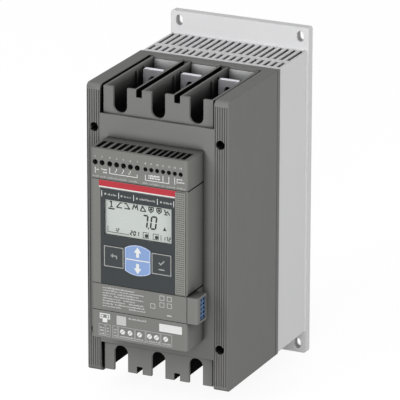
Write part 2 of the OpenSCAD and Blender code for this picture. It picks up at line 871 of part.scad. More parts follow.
module title_strip() color("#c8404c")
    facing(film_back, control_front) strip_outline();

module display_window() color("#dfe5e2", 0.4)
    facing(panel_inside, control_front)
        panel(panel_x, display_z, display_w - seat, display_h - seat);

module display_module() color("#cfd4cf") {
    glass_rim = 1;
    glass_end = 2;
    facing(control_board_front, panel_inside - seat)
        panel(panel_x, display_z, display_w + 2 * glass_rim, display_h + 2 * glass_end, glass_rim);
}

module status_lights() color("#d8e0d0")
    for (x = light_xs) rod(panel_x + x, light_z, control_board_front, control_front, light_d - seat);

// Keys: a cap in the panel's opening and a flange behind it that keeps the key in
module key_cap() {
    facing(key_back, control_front + key_proud) children(0);
    facing(key_back, key_back + key_flange_t) children(1);
}

module side_key(s) {
    key_cap() {
        side_key_outline(s, 0);
        panel(panel_x + s * side_key_x, keys_z, side_key_w, side_key_h + 2 * (key_gap + key_flange));
    }
}

module key_left() color("#4b4e50") side_key(-1);

module key_right() color("#4b4e50") side_key(1);

// One half of the arrow pad: s is 1 for the upper key and -1 for the lower one
module arrow_key(s) {
    key_cap() {
        half_pad(s, 0);
        half_pad(s, key_gap + key_flange);
    }
}

module half_pad(s, grow) {
    intersection() {
        panel(panel_x, keys_z + s * (pad_split / 2 + pad_h / 2), pad_w, pad_h);
        pad_outline(grow);
    }
}

module key_up() color("#94aad6") arrow_key(1);

module key_down() color("#94aad6") arrow_key(-1);

// Soft mat of contact domes between the keys and the control board
module key_mat() color(black) {
    dome_d = 7;
    mat_t = 1;
    mat_r = 1;
    mat_w = 2 * side_key_x + side_key_w;
    centres = [[-side_key_x, 0], [side_key_x, 0], [0, pad_h / 4], [0, -pad_h / 4]];
    facing(control_board_front, control_board_front + mat_t) panel(panel_x, keys_z, mat_w, pad_h, mat_r);
    for (c = centres) rod(panel_x + c[0], keys_z + c[1], control_board_front + mat_t / 2, mat_top, dome_d);
}

// Control terminals: blocks with a wire well and a screw well for each pole
module terminal_block(poles, pitch, hole_d) {
    left_rim = 0.9;
    right_rim = 0.2;
    well_rim = 0.4;
    wire_rim = 0.5;
    wire_back = 2;
    wire_trim = 6;
    wire_depth = 6;
    x0 = poles[0] - pitch / 2 + left_rim;
    x1 = poles[len(poles) - 1] + pitch / 2 - right_rim;
    difference() {
        facing(cover_front, terminal_front)
            span(x0, x1, hood_z0 + case_wall + seat, hood_z1 - case_wall - seat);
        for (x = poles)
            rod(x, hole_z, screw_head_front - clamp_reach - over, terminal_front + over,
                hole_d - 2 * well_rim);
        upright(hole_z - wire_depth, hood_z1)
            for (x = poles)
                panel(x, wire_slot_l / 2 - wire_slot_end + wire_back,
                    wire_slot_w - 2 * wire_rim, wire_slot_l - wire_trim);
    }
}

module relay_terminals() color("#3a3a3b") terminal_block(relay_x, relay_pitch, relay_hole_d);

module signal_terminals() color("#3a3a3b") terminal_block(signal_x, signal_pitch, signal_hole_d);

module terminal_screws() color(tin) {
    screw_rim = 0.55;
    for (x = relay_x) clamp_screw(x, relay_hole_d - 2 * screw_rim);
    for (x = signal_x) clamp_screw(x, signal_hole_d - 2 * screw_rim);
}

// A clamp screw with a slotted head, at the bottom of its well
module clamp_screw(x, dia) {
    drive_h = 0.8;
    drive_w = 0.6;
    difference() {
        rod(x, hole_z, screw_head_front - clamp_reach, screw_head_front, dia);
        facing(screw_head_front - drive_h, screw_head_front + over) panel(x, hole_z, dia + over, drive_w);
    }
}

// Link case: a shell with a wing at its right that shelters the pluggable connector
module link_case() color(mid_grey)
    difference() {
        union() {
            case_shell(control_x0, control_x1, link_z0, link_z1);
            upright(link_z0, link_z1) intersection() {
                span(control_x1 - case_wall - over, wing_x, -control_front, -wing_back);
                translate([wing_x - control_w / 2, 0]) rotate(-90)
                    nose(cover_front, control_front, control_w / 2, case_r);
            }
        }
        facing(cover_front - over, control_front - case_wall - film_t)
            span(control_x0 + case_wall, pocket_x - case_wall, link_z0 + case_wall, link_z1 - case_wall);
        facing(pocket_d0, pocket_d1) span(pocket_x, wing_x + over, pocket_z0, pocket_z1);
        facing(control_front - wing_line_in, control_front + over)
            panel(control_x1, (link_z0 + link_z1) / 2, wing_line_w, link_h);
    }

module link_socket() color(black) {
    across(pocket_x, plug_x0)
        panel(plug_d, plug_z, pocket_d1 - pocket_d0 - 2 * seat, pocket_z1 - pocket_z0 - 2 * seat);
    for (i = [0:plug_poles - 1])
        across(plug_x0 - over, plug_x0 + socket_pin_l)
            panel(plug_entry_d, pole_z(i), socket_pin, socket_pin);
}

function pole_z(i) = plug_z + (i - (plug_poles - 1) / 2) * plug_pitch;

// Pluggable connector: clamp screws in front, wire entries behind them
module link_plug() color(blue) {
    corner = 0.8;
    pin_room = socket_pin + 2 * seat;
    pin_end = 0.5;
    entry_l = 2.5;
    entry_w = 2.6;
    entry_h = 2.4;
    difference() {
        across(plug_x0, plug_x1)
            panel(plug_d, plug_z, pocket_d1 - pocket_d0 - 2 * seat, pocket_z1 - pocket_z0 - 2 * seat, corner);
        for (i = [0:plug_poles - 1]) {
            across(plug_x0 - over, plug_x0 + socket_pin_l + pin_end)
                panel(plug_entry_d, pole_z(i), pin_room, pin_room);
            across(plug_x1 - entry_l, plug_x1 + over) panel(plug_entry_d, pole_z(i), entry_w, entry_h);
            plug_clamp(i, plug_screw_d + screw_clear, plug_clamp_l + over);
        }
    }
}

// A round hole or screw at the bottom of a pole's clamp, along X
module plug_clamp(i, dia, h) {
    translate([plug_x1 - plug_clamp_l, -plug_clamp_d, pole_z(i)]) rotate([0, 90, 0]) cylinder(d = dia, h = h);
}

module plug_screws() color(tin) {
    screw_h = 2.2;
    drive_h = 0.5;
    drive_w = 0.5;
    screw_top = plug_x1 - plug_clamp_l + screw_h;
    for (i = [0:plug_poles - 1])
        difference() {
            plug_clamp(i, plug_screw_d, screw_h);
            across(screw_top - drive_h, screw_top + over)
                panel(plug_clamp_d, pole_z(i), drive_w, plug_screw_d + over);
        }
}

module lower_case() color(mid_grey) case_shell(control_x0, control_x1, lower_z0, lower_z1);

// Fans: a square frame with struts and a bearing tube, and a rotor whose shaft runs in the tube
module fan_frame(s) color(black) translate([s * fan_x, -fan_d, 0]) {
    hub_floor = fan_z0 + strut_t;
    frame_corner = 2;
    difference() {
        union() {
            difference() {
                upright(fan_z0, fan_z1) panel(0, 0, fan_size, fan_size, frame_corner);
                translate([0, 0, fan_z0 - over]) cylinder(d = fan_bore, h = fan_h + 2 * over);
            }
            upright(fan_z0, hub_floor) intersection() {
                circle(d = fan_bore + over);
                for (a = [90, 210, 330]) rotate(a) span(0, fan_bore, -strut_t / 2, strut_t / 2);
            }
            translate([0, 0, fan_z0]) cylinder(d = hub_d, h = strut_t);
            translate([0, 0, fan_z0]) cylinder(d = bearing_d, h = bearing_h);
        }
        translate([0, 0, fan_z0 + over]) cylinder(d = shaft_d + 2 * shaft_clear, h = fan_h);
        for (sx = [-1, 1], sy = [-1, 1])
            translate([sx * fan_screw_span / 2, sy * fan_screw_span / 2, fan_z0 - over])
                cylinder(d = fan_screw_d + screw_clear, h = fan_h + 2 * over);
    }
}

module fan_rotor(s) color("#3b3b3c") translate([s * fan_x, -fan_d, 0]) {
    rotor_z0 = fan_z0 + strut_t + 2 * seat;
    rotor_z1 = fan_z1 - tip_gap;
    cap_t = 2;
    hub_wall = 2;
    blade_rim = 0.5;
    blade_root = 0.6;
    blade_z0 = rotor_z0 + blade_rim;
    blade_h = rotor_z1 - blade_z0 - blade_rim;
    tip_r = fan_bore / 2 - tip_gap;
    difference() {
        translate([0, 0, rotor_z0]) cylinder(d = hub_d, h = rotor_z1 - rotor_z0);
        translate([0, 0, rotor_z0 - over])
            cylinder(d = hub_d - 2 * hub_wall, h = rotor_z1 - cap_t - rotor_z0 + over);
    }
    translate([0, 0, fan_z0 + over + seat])
        cylinder(d = shaft_d, h = rotor_z1 - over - fan_z0 - seat - cap_t / 2);
    intersection() {
        translate([0, 0, blade_z0]) cylinder(r = tip_r, h = blade_h);
        for (i = [0:blade_count - 1])
            rotate(i * 360 / blade_count) translate([hub_d / 2 - blade_root, 0, blade_z0])
                rotate([90, 0, 90]) linear_extrude(tip_r) blade_section(blade_h);
    }
}

// Cross-section of a blade: a bowed strip that leans sideways over its height h
module blade_section(h) {
    half_chord = sqrt(blade_lean * blade_lean + h * h) / 2;
    reach = sqrt(blade_bow * blade_bow - half_chord * half_chord);
    intersection() {
        span(-blade_lean, blade_lean, 0, h);
        translate([reach * h / (2 * half_chord), h / 2 - reach * blade_lean / (2 * half_chord)])
            difference() {
                circle(blade_bow + blade_t / 2, $fn = 96);
                circle(blade_bow - blade_t / 2, $fn = 96);
            }
    }
}

module fan_screws() color(tin) {
    grip = 8;
    head_h = 0.8;
    for (s = [-1, 1], sx = [-1, 1], sy = [-1, 1])
        translate([s * fan_x + sx * fan_screw_span / 2, sy * fan_screw_span / 2 - fan_d, 0]) {
            translate([0, 0, fan_z0]) cylinder(d = fan_screw_d, h = fan_h + grip);
            translate([0, 0, fan_z0 - head_h]) cylinder(d = 2 * fan_screw_d, h = head_h);
        }
}

heat_sink();
main_cover();
cover_screws();
line_terminal_shroud();
load_terminal_shroud();
line_bar(0);  // line_bar_1
line_bar(1);  // line_bar_2
line_bar(2);  // line_bar_3
load_bar(0);  // load_bar_1
load_bar(1);  // load_bar_2
load_bar(2);  // load_bar_3
bar_screws();
power_module(0);  // power_module_1
power_module(1);  // power_module_2
power_module(2);  // power_module_3
module_screws();
bypass_relay(0);  // bypass_relay_1
bypass_relay(1);  // bypass_relay_2
bypass_relay(2);  // bypass_relay_3
current_sensor(0);  // current_sensor_1
current_sensor(1);  // current_sensor_2
current_sensor(2);  // current_sensor_3
firing_board();
board_screws();
board_link();
control_board();
terminal_hood();
panel_case();
link_case();
lower_case();
panel_film();
title_strip();
display_window();
display_module();
status_lights();
key_left();
key_up();
key_down();
key_right();
key_mat();
relay_terminals();
signal_terminals();
terminal_screws();
link_socket();
link_plug();
plug_screws();
fan_frame(-1);  // fan_frame_1
fan_frame(1);  // fan_frame_2
fan_rotor(-1);  // fan_rotor_1
fan_rotor(1);  // fan_rotor_2
fan_screws();
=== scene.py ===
"""Finish of a panel-mounted soft starter: its materials, its prints and the studio that it stands in."""

import json
import math
import random

import bmesh
import bpy
from bpy.props import FloatProperty, FloatVectorProperty, IntProperty, PointerProperty
from bpy.types import Operator, Panel, PropertyGroup
from mathutils import Matrix, Vector


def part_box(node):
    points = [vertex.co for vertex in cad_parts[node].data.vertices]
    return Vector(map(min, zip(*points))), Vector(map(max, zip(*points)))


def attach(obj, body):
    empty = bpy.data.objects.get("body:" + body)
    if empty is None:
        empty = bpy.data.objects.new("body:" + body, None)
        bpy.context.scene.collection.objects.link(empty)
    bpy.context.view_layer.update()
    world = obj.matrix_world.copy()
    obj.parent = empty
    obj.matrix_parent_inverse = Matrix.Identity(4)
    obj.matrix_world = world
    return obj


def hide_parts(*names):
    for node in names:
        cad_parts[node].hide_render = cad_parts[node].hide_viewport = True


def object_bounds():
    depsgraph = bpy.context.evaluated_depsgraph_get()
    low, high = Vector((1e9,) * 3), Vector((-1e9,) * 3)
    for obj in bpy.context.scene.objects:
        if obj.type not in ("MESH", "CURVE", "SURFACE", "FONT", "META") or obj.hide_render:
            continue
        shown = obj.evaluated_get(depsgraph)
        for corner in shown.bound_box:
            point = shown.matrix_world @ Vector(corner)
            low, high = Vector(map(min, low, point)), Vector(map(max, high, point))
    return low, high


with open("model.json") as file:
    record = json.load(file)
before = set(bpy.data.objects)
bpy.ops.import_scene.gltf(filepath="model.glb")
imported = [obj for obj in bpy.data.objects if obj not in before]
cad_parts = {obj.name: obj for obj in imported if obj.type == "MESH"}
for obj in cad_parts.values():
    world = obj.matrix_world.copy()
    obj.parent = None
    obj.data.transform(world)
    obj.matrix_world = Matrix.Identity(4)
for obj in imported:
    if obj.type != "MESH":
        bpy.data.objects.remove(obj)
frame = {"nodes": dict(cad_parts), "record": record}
CAD_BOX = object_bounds()

bl_info = {
    "name": "Soft starter finish",
    "version": (1, 0, 0),
    "blender": (4, 5, 0),
    "location": "3D View > Sidebar > Starter",
    "description": "Materials, prints and studio of a panel-mounted soft starter",
    "category": "Object",
}

MM = 0.001


def linear(hexa):
    """An sRGB colour, such as #7b7b79, as the linear values that shaders use."""
    shares = [int(hexa[i:i + 2], 16) / 255 for i in (1, 3, 5)]
    return [s / 12.92 if s <= 0.04045 else ((s + 0.055) / 1.055) ** 2.4 for s in shares]


def colour(name, description, hexa):
    """A colour that a user may change."""
    return FloatVectorProperty(name=name, description=description, subtype="COLOR", min=0, max=1,
                               default=linear(hexa))


def size(name, description, millimetres):
    """A length that a user may change."""
    return FloatProperty(name=name, description=description, subtype="DISTANCE", unit="LENGTH",
                         precision=5, default=millimetres * MM)


def angle(name, description, degrees):
    """An angle that a user may change."""
    return FloatProperty(name=name, description=description, subtype="ANGLE", default=math.radians(degrees))


def amount(name, description, value):
    """A plain number that a user may change."""
    return FloatProperty(name=name, description=description, default=value)


class StarterColours(PropertyGroup):
    """Colours of the object's materials."""

    coat: colour("Heat sink", "Light grey powder coat", "#dadadb")
    housing: colour("Housing", "Dark grey moulded housing and shrouds", "#7c7c7a")
    control: colour("Control unit", "Mid grey moulded cases", "#7e7e7b")
    zinc: colour("Screws", "Zinc-plated steel", "#b4b4b6")
    tin: colour("Terminal bars", "Tin-plated copper", "#d4d3d9")
    black: colour("Black plastic", "Power modules, sockets and fans", "#242425")
    ivory: colour("Relays", "Ivory moulded relay cases", "#dcd8cc")
    resin: colour("Current transformers", "Red-brown potting resin", "#7c2f2c")
    board: colour("Circuit boards", "Green solder mask", "#2f5f45")
    film: colour("Panel film", "Dark printed film", "#34393b")
    red: colour("Title strip", "Red printed film", "#b4343e")
    lcd: colour("Display", "Pale grey-green display pane", "#c4cac5")
    segment: colour("Display segments", "Dark display segments", "#191c1b")
    lamp: colour("Status lights", "Milky light pipes", "#aeb5ae")
    key_dark: colour("Side keys", "Dark key caps", "#3a3e40")
    key_blue: colour("Arrow keys", "Pale blue key caps", "#8aa4d2")
    key_rim: colour("Arrow key rim", "Lighter line round the arrow keys", "#cfdaf0")
    terminal: colour("Control terminals", "Black moulded terminal blocks", "#161617")
    plug: colour("Link plug", "Blue moulded connector", "#4a6a92")
    grip: colour("Grip", "Light grey grip insert", "#94948f")
    white_ink: colour("White print", "White screen print", "#e6e8e6")
    grey_ink: colour("Grey print", "Light grey screen print", "#adaeac")
    pale_ink: colour("Pale print", "Pale grey screen print", "#c6c7c5")
    sticker: colour("Blank label", "White paper label", "#e2e2e1")


class StarterPrint(PropertyGroup):
    """Sizes of the prints and small moulded details."""

    ink: size("Ink", "Thickness of a printed layer", 0.05)
    line: size("Line", "Width of a printed line", 0.55)
    key_line: size("Key frame", "Width of the pale frame on a side key", 0.7)
    split_line: size("Arrow pad split", "Width of the white line over the arrow pad's split", 0.9)
    white_line: size("White line", "Height of the white line under the red strip", 0.95)
    numeral: size("Numerals", "Height of the terminal numbers", 1.7)
    digit: size("Display digits", "Height of the large display digits", 10.75)
    pad_radius: size("Arrow pad arc", "Radius of the arrow pad's upper and lower edge", 22)
    edge_lift: size("Load edge lift", "How much higher the housing's load-side edge is drawn", 3)
    end_lift: size("Load shroud lift", "How much higher the load shroud's lower end is drawn", 1.5)
    shroud_forward: size("Shroud front", "How much further forward the shrouds' front plates are drawn", 2.25)
    shroud_room: size("Shroud room", "How much narrower the shrouds are drawn on each side", 0.45)
    grip_pitch: size("Grip pitch", "Distance between the pads of the grip", 1.85)
    grip_pad: size("Grip pad", "Width of a pad of the grip", 1.83)
    grip_height: size("Grip height", "Height of a pad of the grip", 0.5)
    grip_columns: IntProperty(name="Grip columns", description="Pads side by side on the grip",
                              default=5, min=1)


class StarterStage(PropertyGroup):
    """Camera and lights."""

    azimuth: angle("Azimuth", "Turn of the camera to the right", 25.202)
    elevation: angle("Elevation", "Height of the camera above the horizon", 18.840)
    roll: angle("Roll", "Turn of the camera about its own axis", 0.12)
    distance: size("Distance", "Camera to the point it looks at", 3672.4)
    target: FloatVectorProperty(name="Target", description="Point that the camera looks at",
                                subtype="TRANSLATION", unit="LENGTH", default=(0.00636, -0.1, 0.01316))
    lens: amount("Lens", "Focal length in millimetres on a 36 mm sensor", 390.4)
    ambient: amount("Ambient", "Level of the even light from all round", 0.42)
    key: amount("Key light", "Power of the soft light at the front left, in watts", 29)
    front: amount("Front light", "Power of the soft light at the front, in watts", 28)
    side: amount("Side light", "Power of the soft light at the right, in watts", 26)
    shadow: FloatProperty(name="Shadow", description="Share of the object's shadow that the floor shows",
                          subtype="FACTOR", min=0, max=1, default=0.3)


def add(tree, kind, inputs=None, **settings):
    """Adds a node. An input is a plain value, a socket, or a node whose first live output is linked."""
    made = tree.nodes.new(kind)
    for name, value in settings.items():
        setattr(made, name, value)
    for key, value in (inputs or {}).items():
        if isinstance(value, bpy.types.Node):
            value = next(socket for socket in value.outputs if socket.enabled)
        if isinstance(value, bpy.types.NodeSocket):
            tree.links.new(value, made.inputs[key])
        else:
            made.inputs[key].default_value = value
    return made


def cleared(block):
    """Turns on the nodes of a new material or world, and returns its emptied tree."""
    block.use_nodes = True
    block.node_tree.nodes.clear()
    return block.node_tree


def new_material(name):
    """A new material, its tree, and the Object coordinates that its patterns follow."""
    made = bpy.data.materials.new(name)
    tree = cleared(made)
    return made, tree, add(tree, "ShaderNodeTexCoord").outputs["Object"]


def shaded(tree, inputs):
    """Ends a material in one surface shader."""
    add(tree, "ShaderNodeOutputMaterial", {"Surface": add(tree, "ShaderNodeBsdfPrincipled", inputs)})


def tones(base, spread):
    """The darker and the lighter end of a colour's variation."""
    return [(*[min(1, c * (1 + s)) for c in base], 1) for s in (-spread, spread)]


# Samples of the small rounding that edges have, and of how enclosed a place is
EDGE_SAMPLES, HOLLOW_SAMPLES = 6, 8
# Reach in millimetres past which only a place's own piece counts
WIDE = 50
# Painted shade in the deep hollows, narrow gaps and inside corners of the moulded shells, as
# with_painted_shade takes them
SHELL_SHADE = [(12, 0.34, 0.5, 0), (70, 0.23, 0.54, 0), (12, 0.45, 0.8, 0.3)]


def with_painted_shade(tree, tint, shade_hollows):
    """Paints shade into a colour where a place is enclosed and hardly any light gets back out.

    Each hollow is how many millimetres round a point to look, the open share of that space at which
    the painted shade is darkest and at which there is none, and how much of the unshaded colour is left
    where it is darkest. A wide look takes in the piece alone, so that what the object stands on darkens
    nothing.
    """
    # Near black that stands in for shade
    shade_black = (*linear("#060606"), 1)
    for reach, dark, unshaded, left in shade_hollows:
        sky = add(tree, "ShaderNodeAmbientOcclusion", {"Distance": reach * MM},
                  samples=HOLLOW_SAMPLES, only_local=reach > WIDE)
        share = add(tree, "ShaderNodeMapRange",
                    {"Value": sky.outputs["AO"], "From Min": dark, "From Max": unshaded, "To Min": left},
                    interpolation_type="SMOOTHSTEP")
        tint = add(tree, "ShaderNodeMix", {0: share, 6: shade_black, 7: tint}, data_type="RGBA")
    return tint


def finish(tree, colours, cloud, roughness, grain, constants, relief=None, shade_hollows=()):
    """Ends a material whose colour wanders between two tones with a cloud, and its roughness with a grain.

    A relief is how strongly and how many millimetres deep the grain is pressed in, and the small radius
    in millimetres that every moulded, coated or sheared edge has. Painted shade darkens the colour in
    the given hollows.
    """
    dark, light = colours
    smooth, rough = roughness
    tint = add(tree, "ShaderNodeMix", {0: cloud, 6: dark, 7: light}, data_type="RGBA")
    dull = add(tree, "ShaderNodeMapRange", {"Value": grain, "To Min": smooth, "To Max": rough})
    inputs = {"Base Color": with_painted_shade(tree, tint, shade_hollows), "Roughness": dull, **constants}
    if relief:
        strength, depth, radius = relief
        pressed = {"Strength": strength, "Distance": depth * MM, "Height": grain}
        if radius:
            pressed["Normal"] = add(tree, "ShaderNodeBevel", {"Radius": radius * MM}, samples=EDGE_SAMPLES)
        inputs["Normal"] = add(tree, "ShaderNodeBump", pressed)
    shaded(tree, inputs)


def moulded_plastic(name, base, grain, depth, roughness, shine=0.5, painted_shade=SHELL_SHADE):
    """Plastic moulded in a spark-eroded tool: a dull, even skin with a pebbled grain.

    The grain's width and depth are in millimetres. Painted shade darkens its hollows and gaps.
    """
    made, tree, place = new_material(name)
    flow_marks = 18 * MM
    pebbles = add(tree, "ShaderNodeTexNoise",
                  {"Vector": place, "Scale": 1 / (grain * MM), "Detail": 2, "Roughness": 0.6})
    flow = add(tree, "ShaderNodeTexNoise", {"Vector": place, "Scale": 1 / flow_marks, "Detail": 3})
    finish(tree, tones(base, 0.04), flow, (roughness - 0.06, roughness + 0.06), pebbles,
           {"IOR": 1.5, "Specular IOR Level": shine}, relief=(0.7, depth, 0.5), shade_hollows=painted_shade)
    return made


def nylon(name, shine=0.12, painted_shade=SHELL_SHADE):
    """Glass-filled nylon of the housing and shrouds: dark grey and almost without shine, in a copy with its
    own painted shade.
    """
    base = bpy.context.scene.starter_colours.housing
    return moulded_plastic(f"{name}_glass_filled_nylon", base, 0.7, 0.03, 0.78, shine, painted_shade)


def powder_coat(base):
    """Light grey powder coat on extruded aluminium: soft orange peel, a low satin shine and painted shade in
    its hollows.
    """
    made, tree, place = new_material("powder_coated_aluminium")
    peel_size, draw_marks = 1.1 * MM, 26 * MM
    along = add(tree, "ShaderNodeMapping", {"Vector": place, "Scale": (1, 1, 0.12)})
    peel = add(tree, "ShaderNodeTexNoise", {"Vector": place, "Scale": 1 / peel_size, "Detail": 2})
    drawn = add(tree, "ShaderNodeTexNoise", {"Vector": along, "Scale": 1 / draw_marks, "Detail": 3})
    # The front face closes the terminal chambers, so it gets a deeper painted shade than the plate does
    front_face, behind_it = -74 * MM, -72 * MM
    depth = add(tree, "ShaderNodeSeparateXYZ", {"Vector": place}).outputs["Y"]
    left = add(tree, "ShaderNodeMapRange", {"Value": depth, "From Min": front_face, "From Max": behind_it,
                                            "To Min": 0.25, "To Max": 1})
    finish(tree, tones(base, 0.025), drawn, (0.42, 0.56), peel, {"IOR": 1.5},
           relief=(0.5, 0.04, 0.7), shade_hollows=[(14, 0.2, 0.46, 0), (48, 0.2, 0.56, left)])
    return made


def plated_metal(name, base, streak, stretch, roughness):
    """Bright plate over rolled or turned metal: a soft shine with fine streaks along Z, in millimetres."""
    made, tree, place = new_material(name)
    along = add(tree, "ShaderNodeMapping", {"Vector": place, "Scale": (1, 1, 1 / stretch)})
    streaks = add(tree, "ShaderNodeTexNoise", {"Vector": along, "Scale": 1 / (streak * MM), "Detail": 4})
    finish(tree, tones(base, 0.1), streaks, (roughness - 0.1, roughness + 0.12), streaks, {"Metallic": 1.0},
           relief=(0.4, 0.02, 0.5))
    return made


def printed_film(name, base, roughness):
    """Polyester film printed on its back: an even colour under a finely matted, slightly glossy face."""
    made, tree, place = new_material(name)
    # The real matting is far finer; it is drawn at half a millimetre so that it shows
    matting_size, cloud_size = 0.5 * MM, 14 * MM
    matting = add(tree, "ShaderNodeTexVoronoi", {"Vector": place, "Scale": 1 / matting_size})
    cloud = add(tree, "ShaderNodeTexNoise", {"Vector": place, "Scale": 1 / cloud_size, "Detail": 2})
    finish(tree, tones(base, 0.05), cloud, (roughness - 0.05, roughness + 0.1), matting,
           {"IOR": 1.55, "Specular IOR Level": 0.3}, relief=(0.25, 0.01, 0))
    return made


def screen_ink(name, base, shine=0.2):
    """Screen-printed ink: flat and chalky, a little thinner here and there."""
    made, tree, place = new_material(name)
    patch = 0.8 * MM
    thin = add(tree, "ShaderNodeTexNoise", {"Vector": place, "Scale": 1 / patch, "Detail": 2})
    finish(tree, tones(base, 0.05), thin, (0.55, 0.7), thin, {"Specular IOR Level": shine})
    return made


def display_pane(base):
    """Liquid-crystal pane: a pale grey-green reflector with a silky, faintly lined face."""
    made, tree, place = new_material("liquid_crystal_pane")
    line_spacing = 6 * MM
    rows = add(tree, "ShaderNodeTexWave",
               {"Vector": place, "Scale": 1 / line_spacing, "Distortion": 1.5, "Detail": 2},
               bands_direction="Z").outputs["Fac"]
    finish(tree, tones(base, 0.03), rows, (0.32, 0.42), rows, {})
    return made


def clear_window():
    """Clear acrylic window: almost invisible, with a clean gloss and a trace of haze."""
    made, tree, place = new_material("clear_acrylic")
    haze_size = 9 * MM
    haze = add(tree, "ShaderNodeTexNoise", {"Vector": place, "Scale": 1 / haze_size, "Detail": 3})
    polish = add(tree, "ShaderNodeMapRange", {"Value": haze, "To Min": 0.03, "To Max": 0.1})
    shaded(tree, {"Base Color": (*linear("#eef2f0"), 1), "Roughness": polish, "IOR": 1.49,
                  "Specular IOR Level": 0.1, "Alpha": 0.03})
    return made


def solder_mask(base):
    """Glass-fibre board under green solder mask: paler lines where the copper tracks lie."""
    made, tree, place = new_material("solder_mask_on_glass_fibre")
    dark, light = tones(base, 0.18)
    track_spacing = 9 * MM
    facing = add(tree, "ShaderNodeMapping", {"Vector": place, "Rotation": (math.radians(90), 0, 0)})
    tracks = add(tree, "ShaderNodeTexBrick",
                 {"Vector": facing, "Color1": dark, "Color2": dark, "Mortar": light,
                  "Scale": 1 / track_spacing, "Mortar Size": 0.06})
    skin = add(tree, "ShaderNodeBump",
               {"Strength": 0.4, "Distance": 0.03 * MM, "Height": tracks.outputs["Fac"]})
    shaded(tree, {"Base Color": tracks, "Roughness": 0.35, "Normal": skin})
    return made


def dress(slot, material):
    """Gives a material to every CAD node whose record names that slot."""
    found = [part["node"] for part in frame["record"]["subparts"] if part["material_slot"] == slot]
    if not found:
        raise RuntimeError(f"no part has the material slot {slot}")
    for name in found:
        slots = frame["nodes"][name].data.materials
        slots.clear()
        slots.append(material)


class Face:
    """Front of a CAD node in millimetres: its edges, its middle, and the y at which it faces the viewer."""

    def __init__(self, node):
        low, high = ([value / MM for value in corner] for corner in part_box(node))
        self.left, self.front, self.bottom = low
        self.right, self.top = high[0], high[2]
        self.x, self.z = (self.left + self.right) / 2, (self.bottom + self.top) / 2


class Ink:
    """Flat shapes that stand a little out of a front face, drawn in millimetres of x and z."""

    def __init__(self, face, height=None):
        sizes = bpy.context.scene.starter_print
        self.mesh = bmesh.new()
        self.stroke = sizes.line / MM
        self.back, self.front = face.front, face.front - (height or sizes.ink / MM)

    def area(self, points):
        """A filled outline."""
        rings = [[self.mesh.verts.new((x, y, z)) for x, z in points] for y in (self.front, self.back)]
        self.mesh.faces.new(rings[0])
        self.mesh.faces.new(reversed(rings[1]))
        for i in range(len(points)):
            self.mesh.faces.new((rings[0][i], rings[1][i], rings[1][i - 1], rings[0][i - 1]))

    def bar(self, left, right, bottom, top):
        """A filled rectangle."""
        self.area([(left, bottom), (right, bottom), (right, top), (left, top)])

    def disc(self, x, z, radius, start=0, turn=360, steps=24):
        """A filled circle, or the part of it that a chord cuts off."""
        count = steps if turn == 360 else steps + 1
        angles = [math.radians(start + turn * i / steps) for i in range(count)]
        self.area([(x + radius * math.cos(a), z + radius * math.sin(a)) for a in angles])

    def line(self, points, width=None, closed=False):
        """A line of even width with mitred corners, as one strip."""
        half = (width or self.stroke) / 2
        # The least cosine that a mitre is worked out with, so that a sharp corner stays short
        sharpest = 0.3
        points = [Vector(point) for point in points]
        last = len(points) - 1
        corners = []
        for i, point in enumerate(points):
            ways = []
            if closed or i > 0:
                ways.append((point - points[i - 1]).normalized())
            if closed or i < last:
                ways.append((points[(i + 1) % len(points)] - point).normalized())
            normals = [Vector((-way.y, way.x)) for way in ways]
            mitre = sum(normals, Vector((0, 0))).normalized()
            reach = mitre * (half / max(sharpest, mitre.dot(normals[0])))
            corners.append([self.mesh.verts.new((p.x, y, p.y)) for p in (point - reach, point + reach)
                            for y in (self.front, self.back)])
        pairs = list(zip(corners, corners[1:])) + ([(corners[-1], corners[0])] if closed else [])
        for (a, a_back, b, b_back), (c, c_back, d, d_back) in pairs:
            for quad in ((a, c, d, b), (b_back, d_back, c_back, a_back),
                         (a_back, c_back, c, a), (b, d, d_back, b_back)):
                self.mesh.faces.new(quad)
        if not closed:
            for a, a_back, b, b_back in (corners[0], corners[-1]):
                self.mesh.faces.new((a, b, b_back, a_back))

    def frame(self, left, right, bottom, top, width):
        """An empty rectangle, its line inside the given edges."""
        h = width / 2
        left, right, bottom, top = left + h, right - h, bottom + h, top - h
        self.line([(left, bottom), (right, bottom), (right, top), (left, top)], width, closed=True)

    def blocks(self, left, z, width, height, seed):
        """A row of small blocks of uneven width, in place of words."""
        draw = random.Random(seed)
        x = left
        while x < left + width:
            block = height * draw.choice((0.35, 0.5, 0.65))
            rise = height * draw.choice((0.7, 0.7, 1.0))
            self.bar(x, x + block, z - height / 2, z - height / 2 + rise)
            x += block + height * draw.choice((0.2, 0.2, 0.2, 0.5))

    def numerals(self, text, x, z, height):
        """Plain figures, centred on a point."""
        cap = 0.73
        scale = height / cap
        curve = bpy.data.curves.new("numerals", "FONT")
        curve.body = text
        curve.align_x, curve.align_y = "CENTER", "CENTER"
        curve.resolution_u = 2
        curve.extrude = (self.back - self.front) / 2 / scale
        holder = bpy.data.objects.new("numerals", curve)
        bpy.context.scene.collection.objects.link(holder)
        shape = holder.evaluated_get(bpy.context.evaluated_depsgraph_get()).to_mesh()
        middle = Matrix.Translation((x, (self.front + self.back) / 2, z))
        shape.transform(middle @ Matrix.Rotation(math.radians(90), 4, "X") @ Matrix.Scale(scale, 4))
        self.mesh.from_mesh(shape)
        bpy.data.objects.remove(holder)
        bpy.data.curves.remove(curve)

    def piece(self, name, material, body):
        """Makes the shapes one piece, in metres, that rides on a body."""
        bmesh.ops.scale(self.mesh, vec=(MM, MM, MM), verts=self.mesh.verts)
        bmesh.ops.recalc_face_normals(self.mesh, faces=self.mesh.faces)
        mesh = bpy.data.meshes.new(name)
        self.mesh.to_mesh(mesh)
        self.mesh.free()
        return placed(name, mesh, material, body)


def placed(name, mesh, material, body):
    """Puts a finished mesh into the scene as a piece that rides on a body."""
    mesh.materials.clear()
    mesh.materials.append(material)
    made = bpy.data.objects.new(name, mesh)
    bpy.context.scene.collection.objects.link(made)
    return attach(made, body)


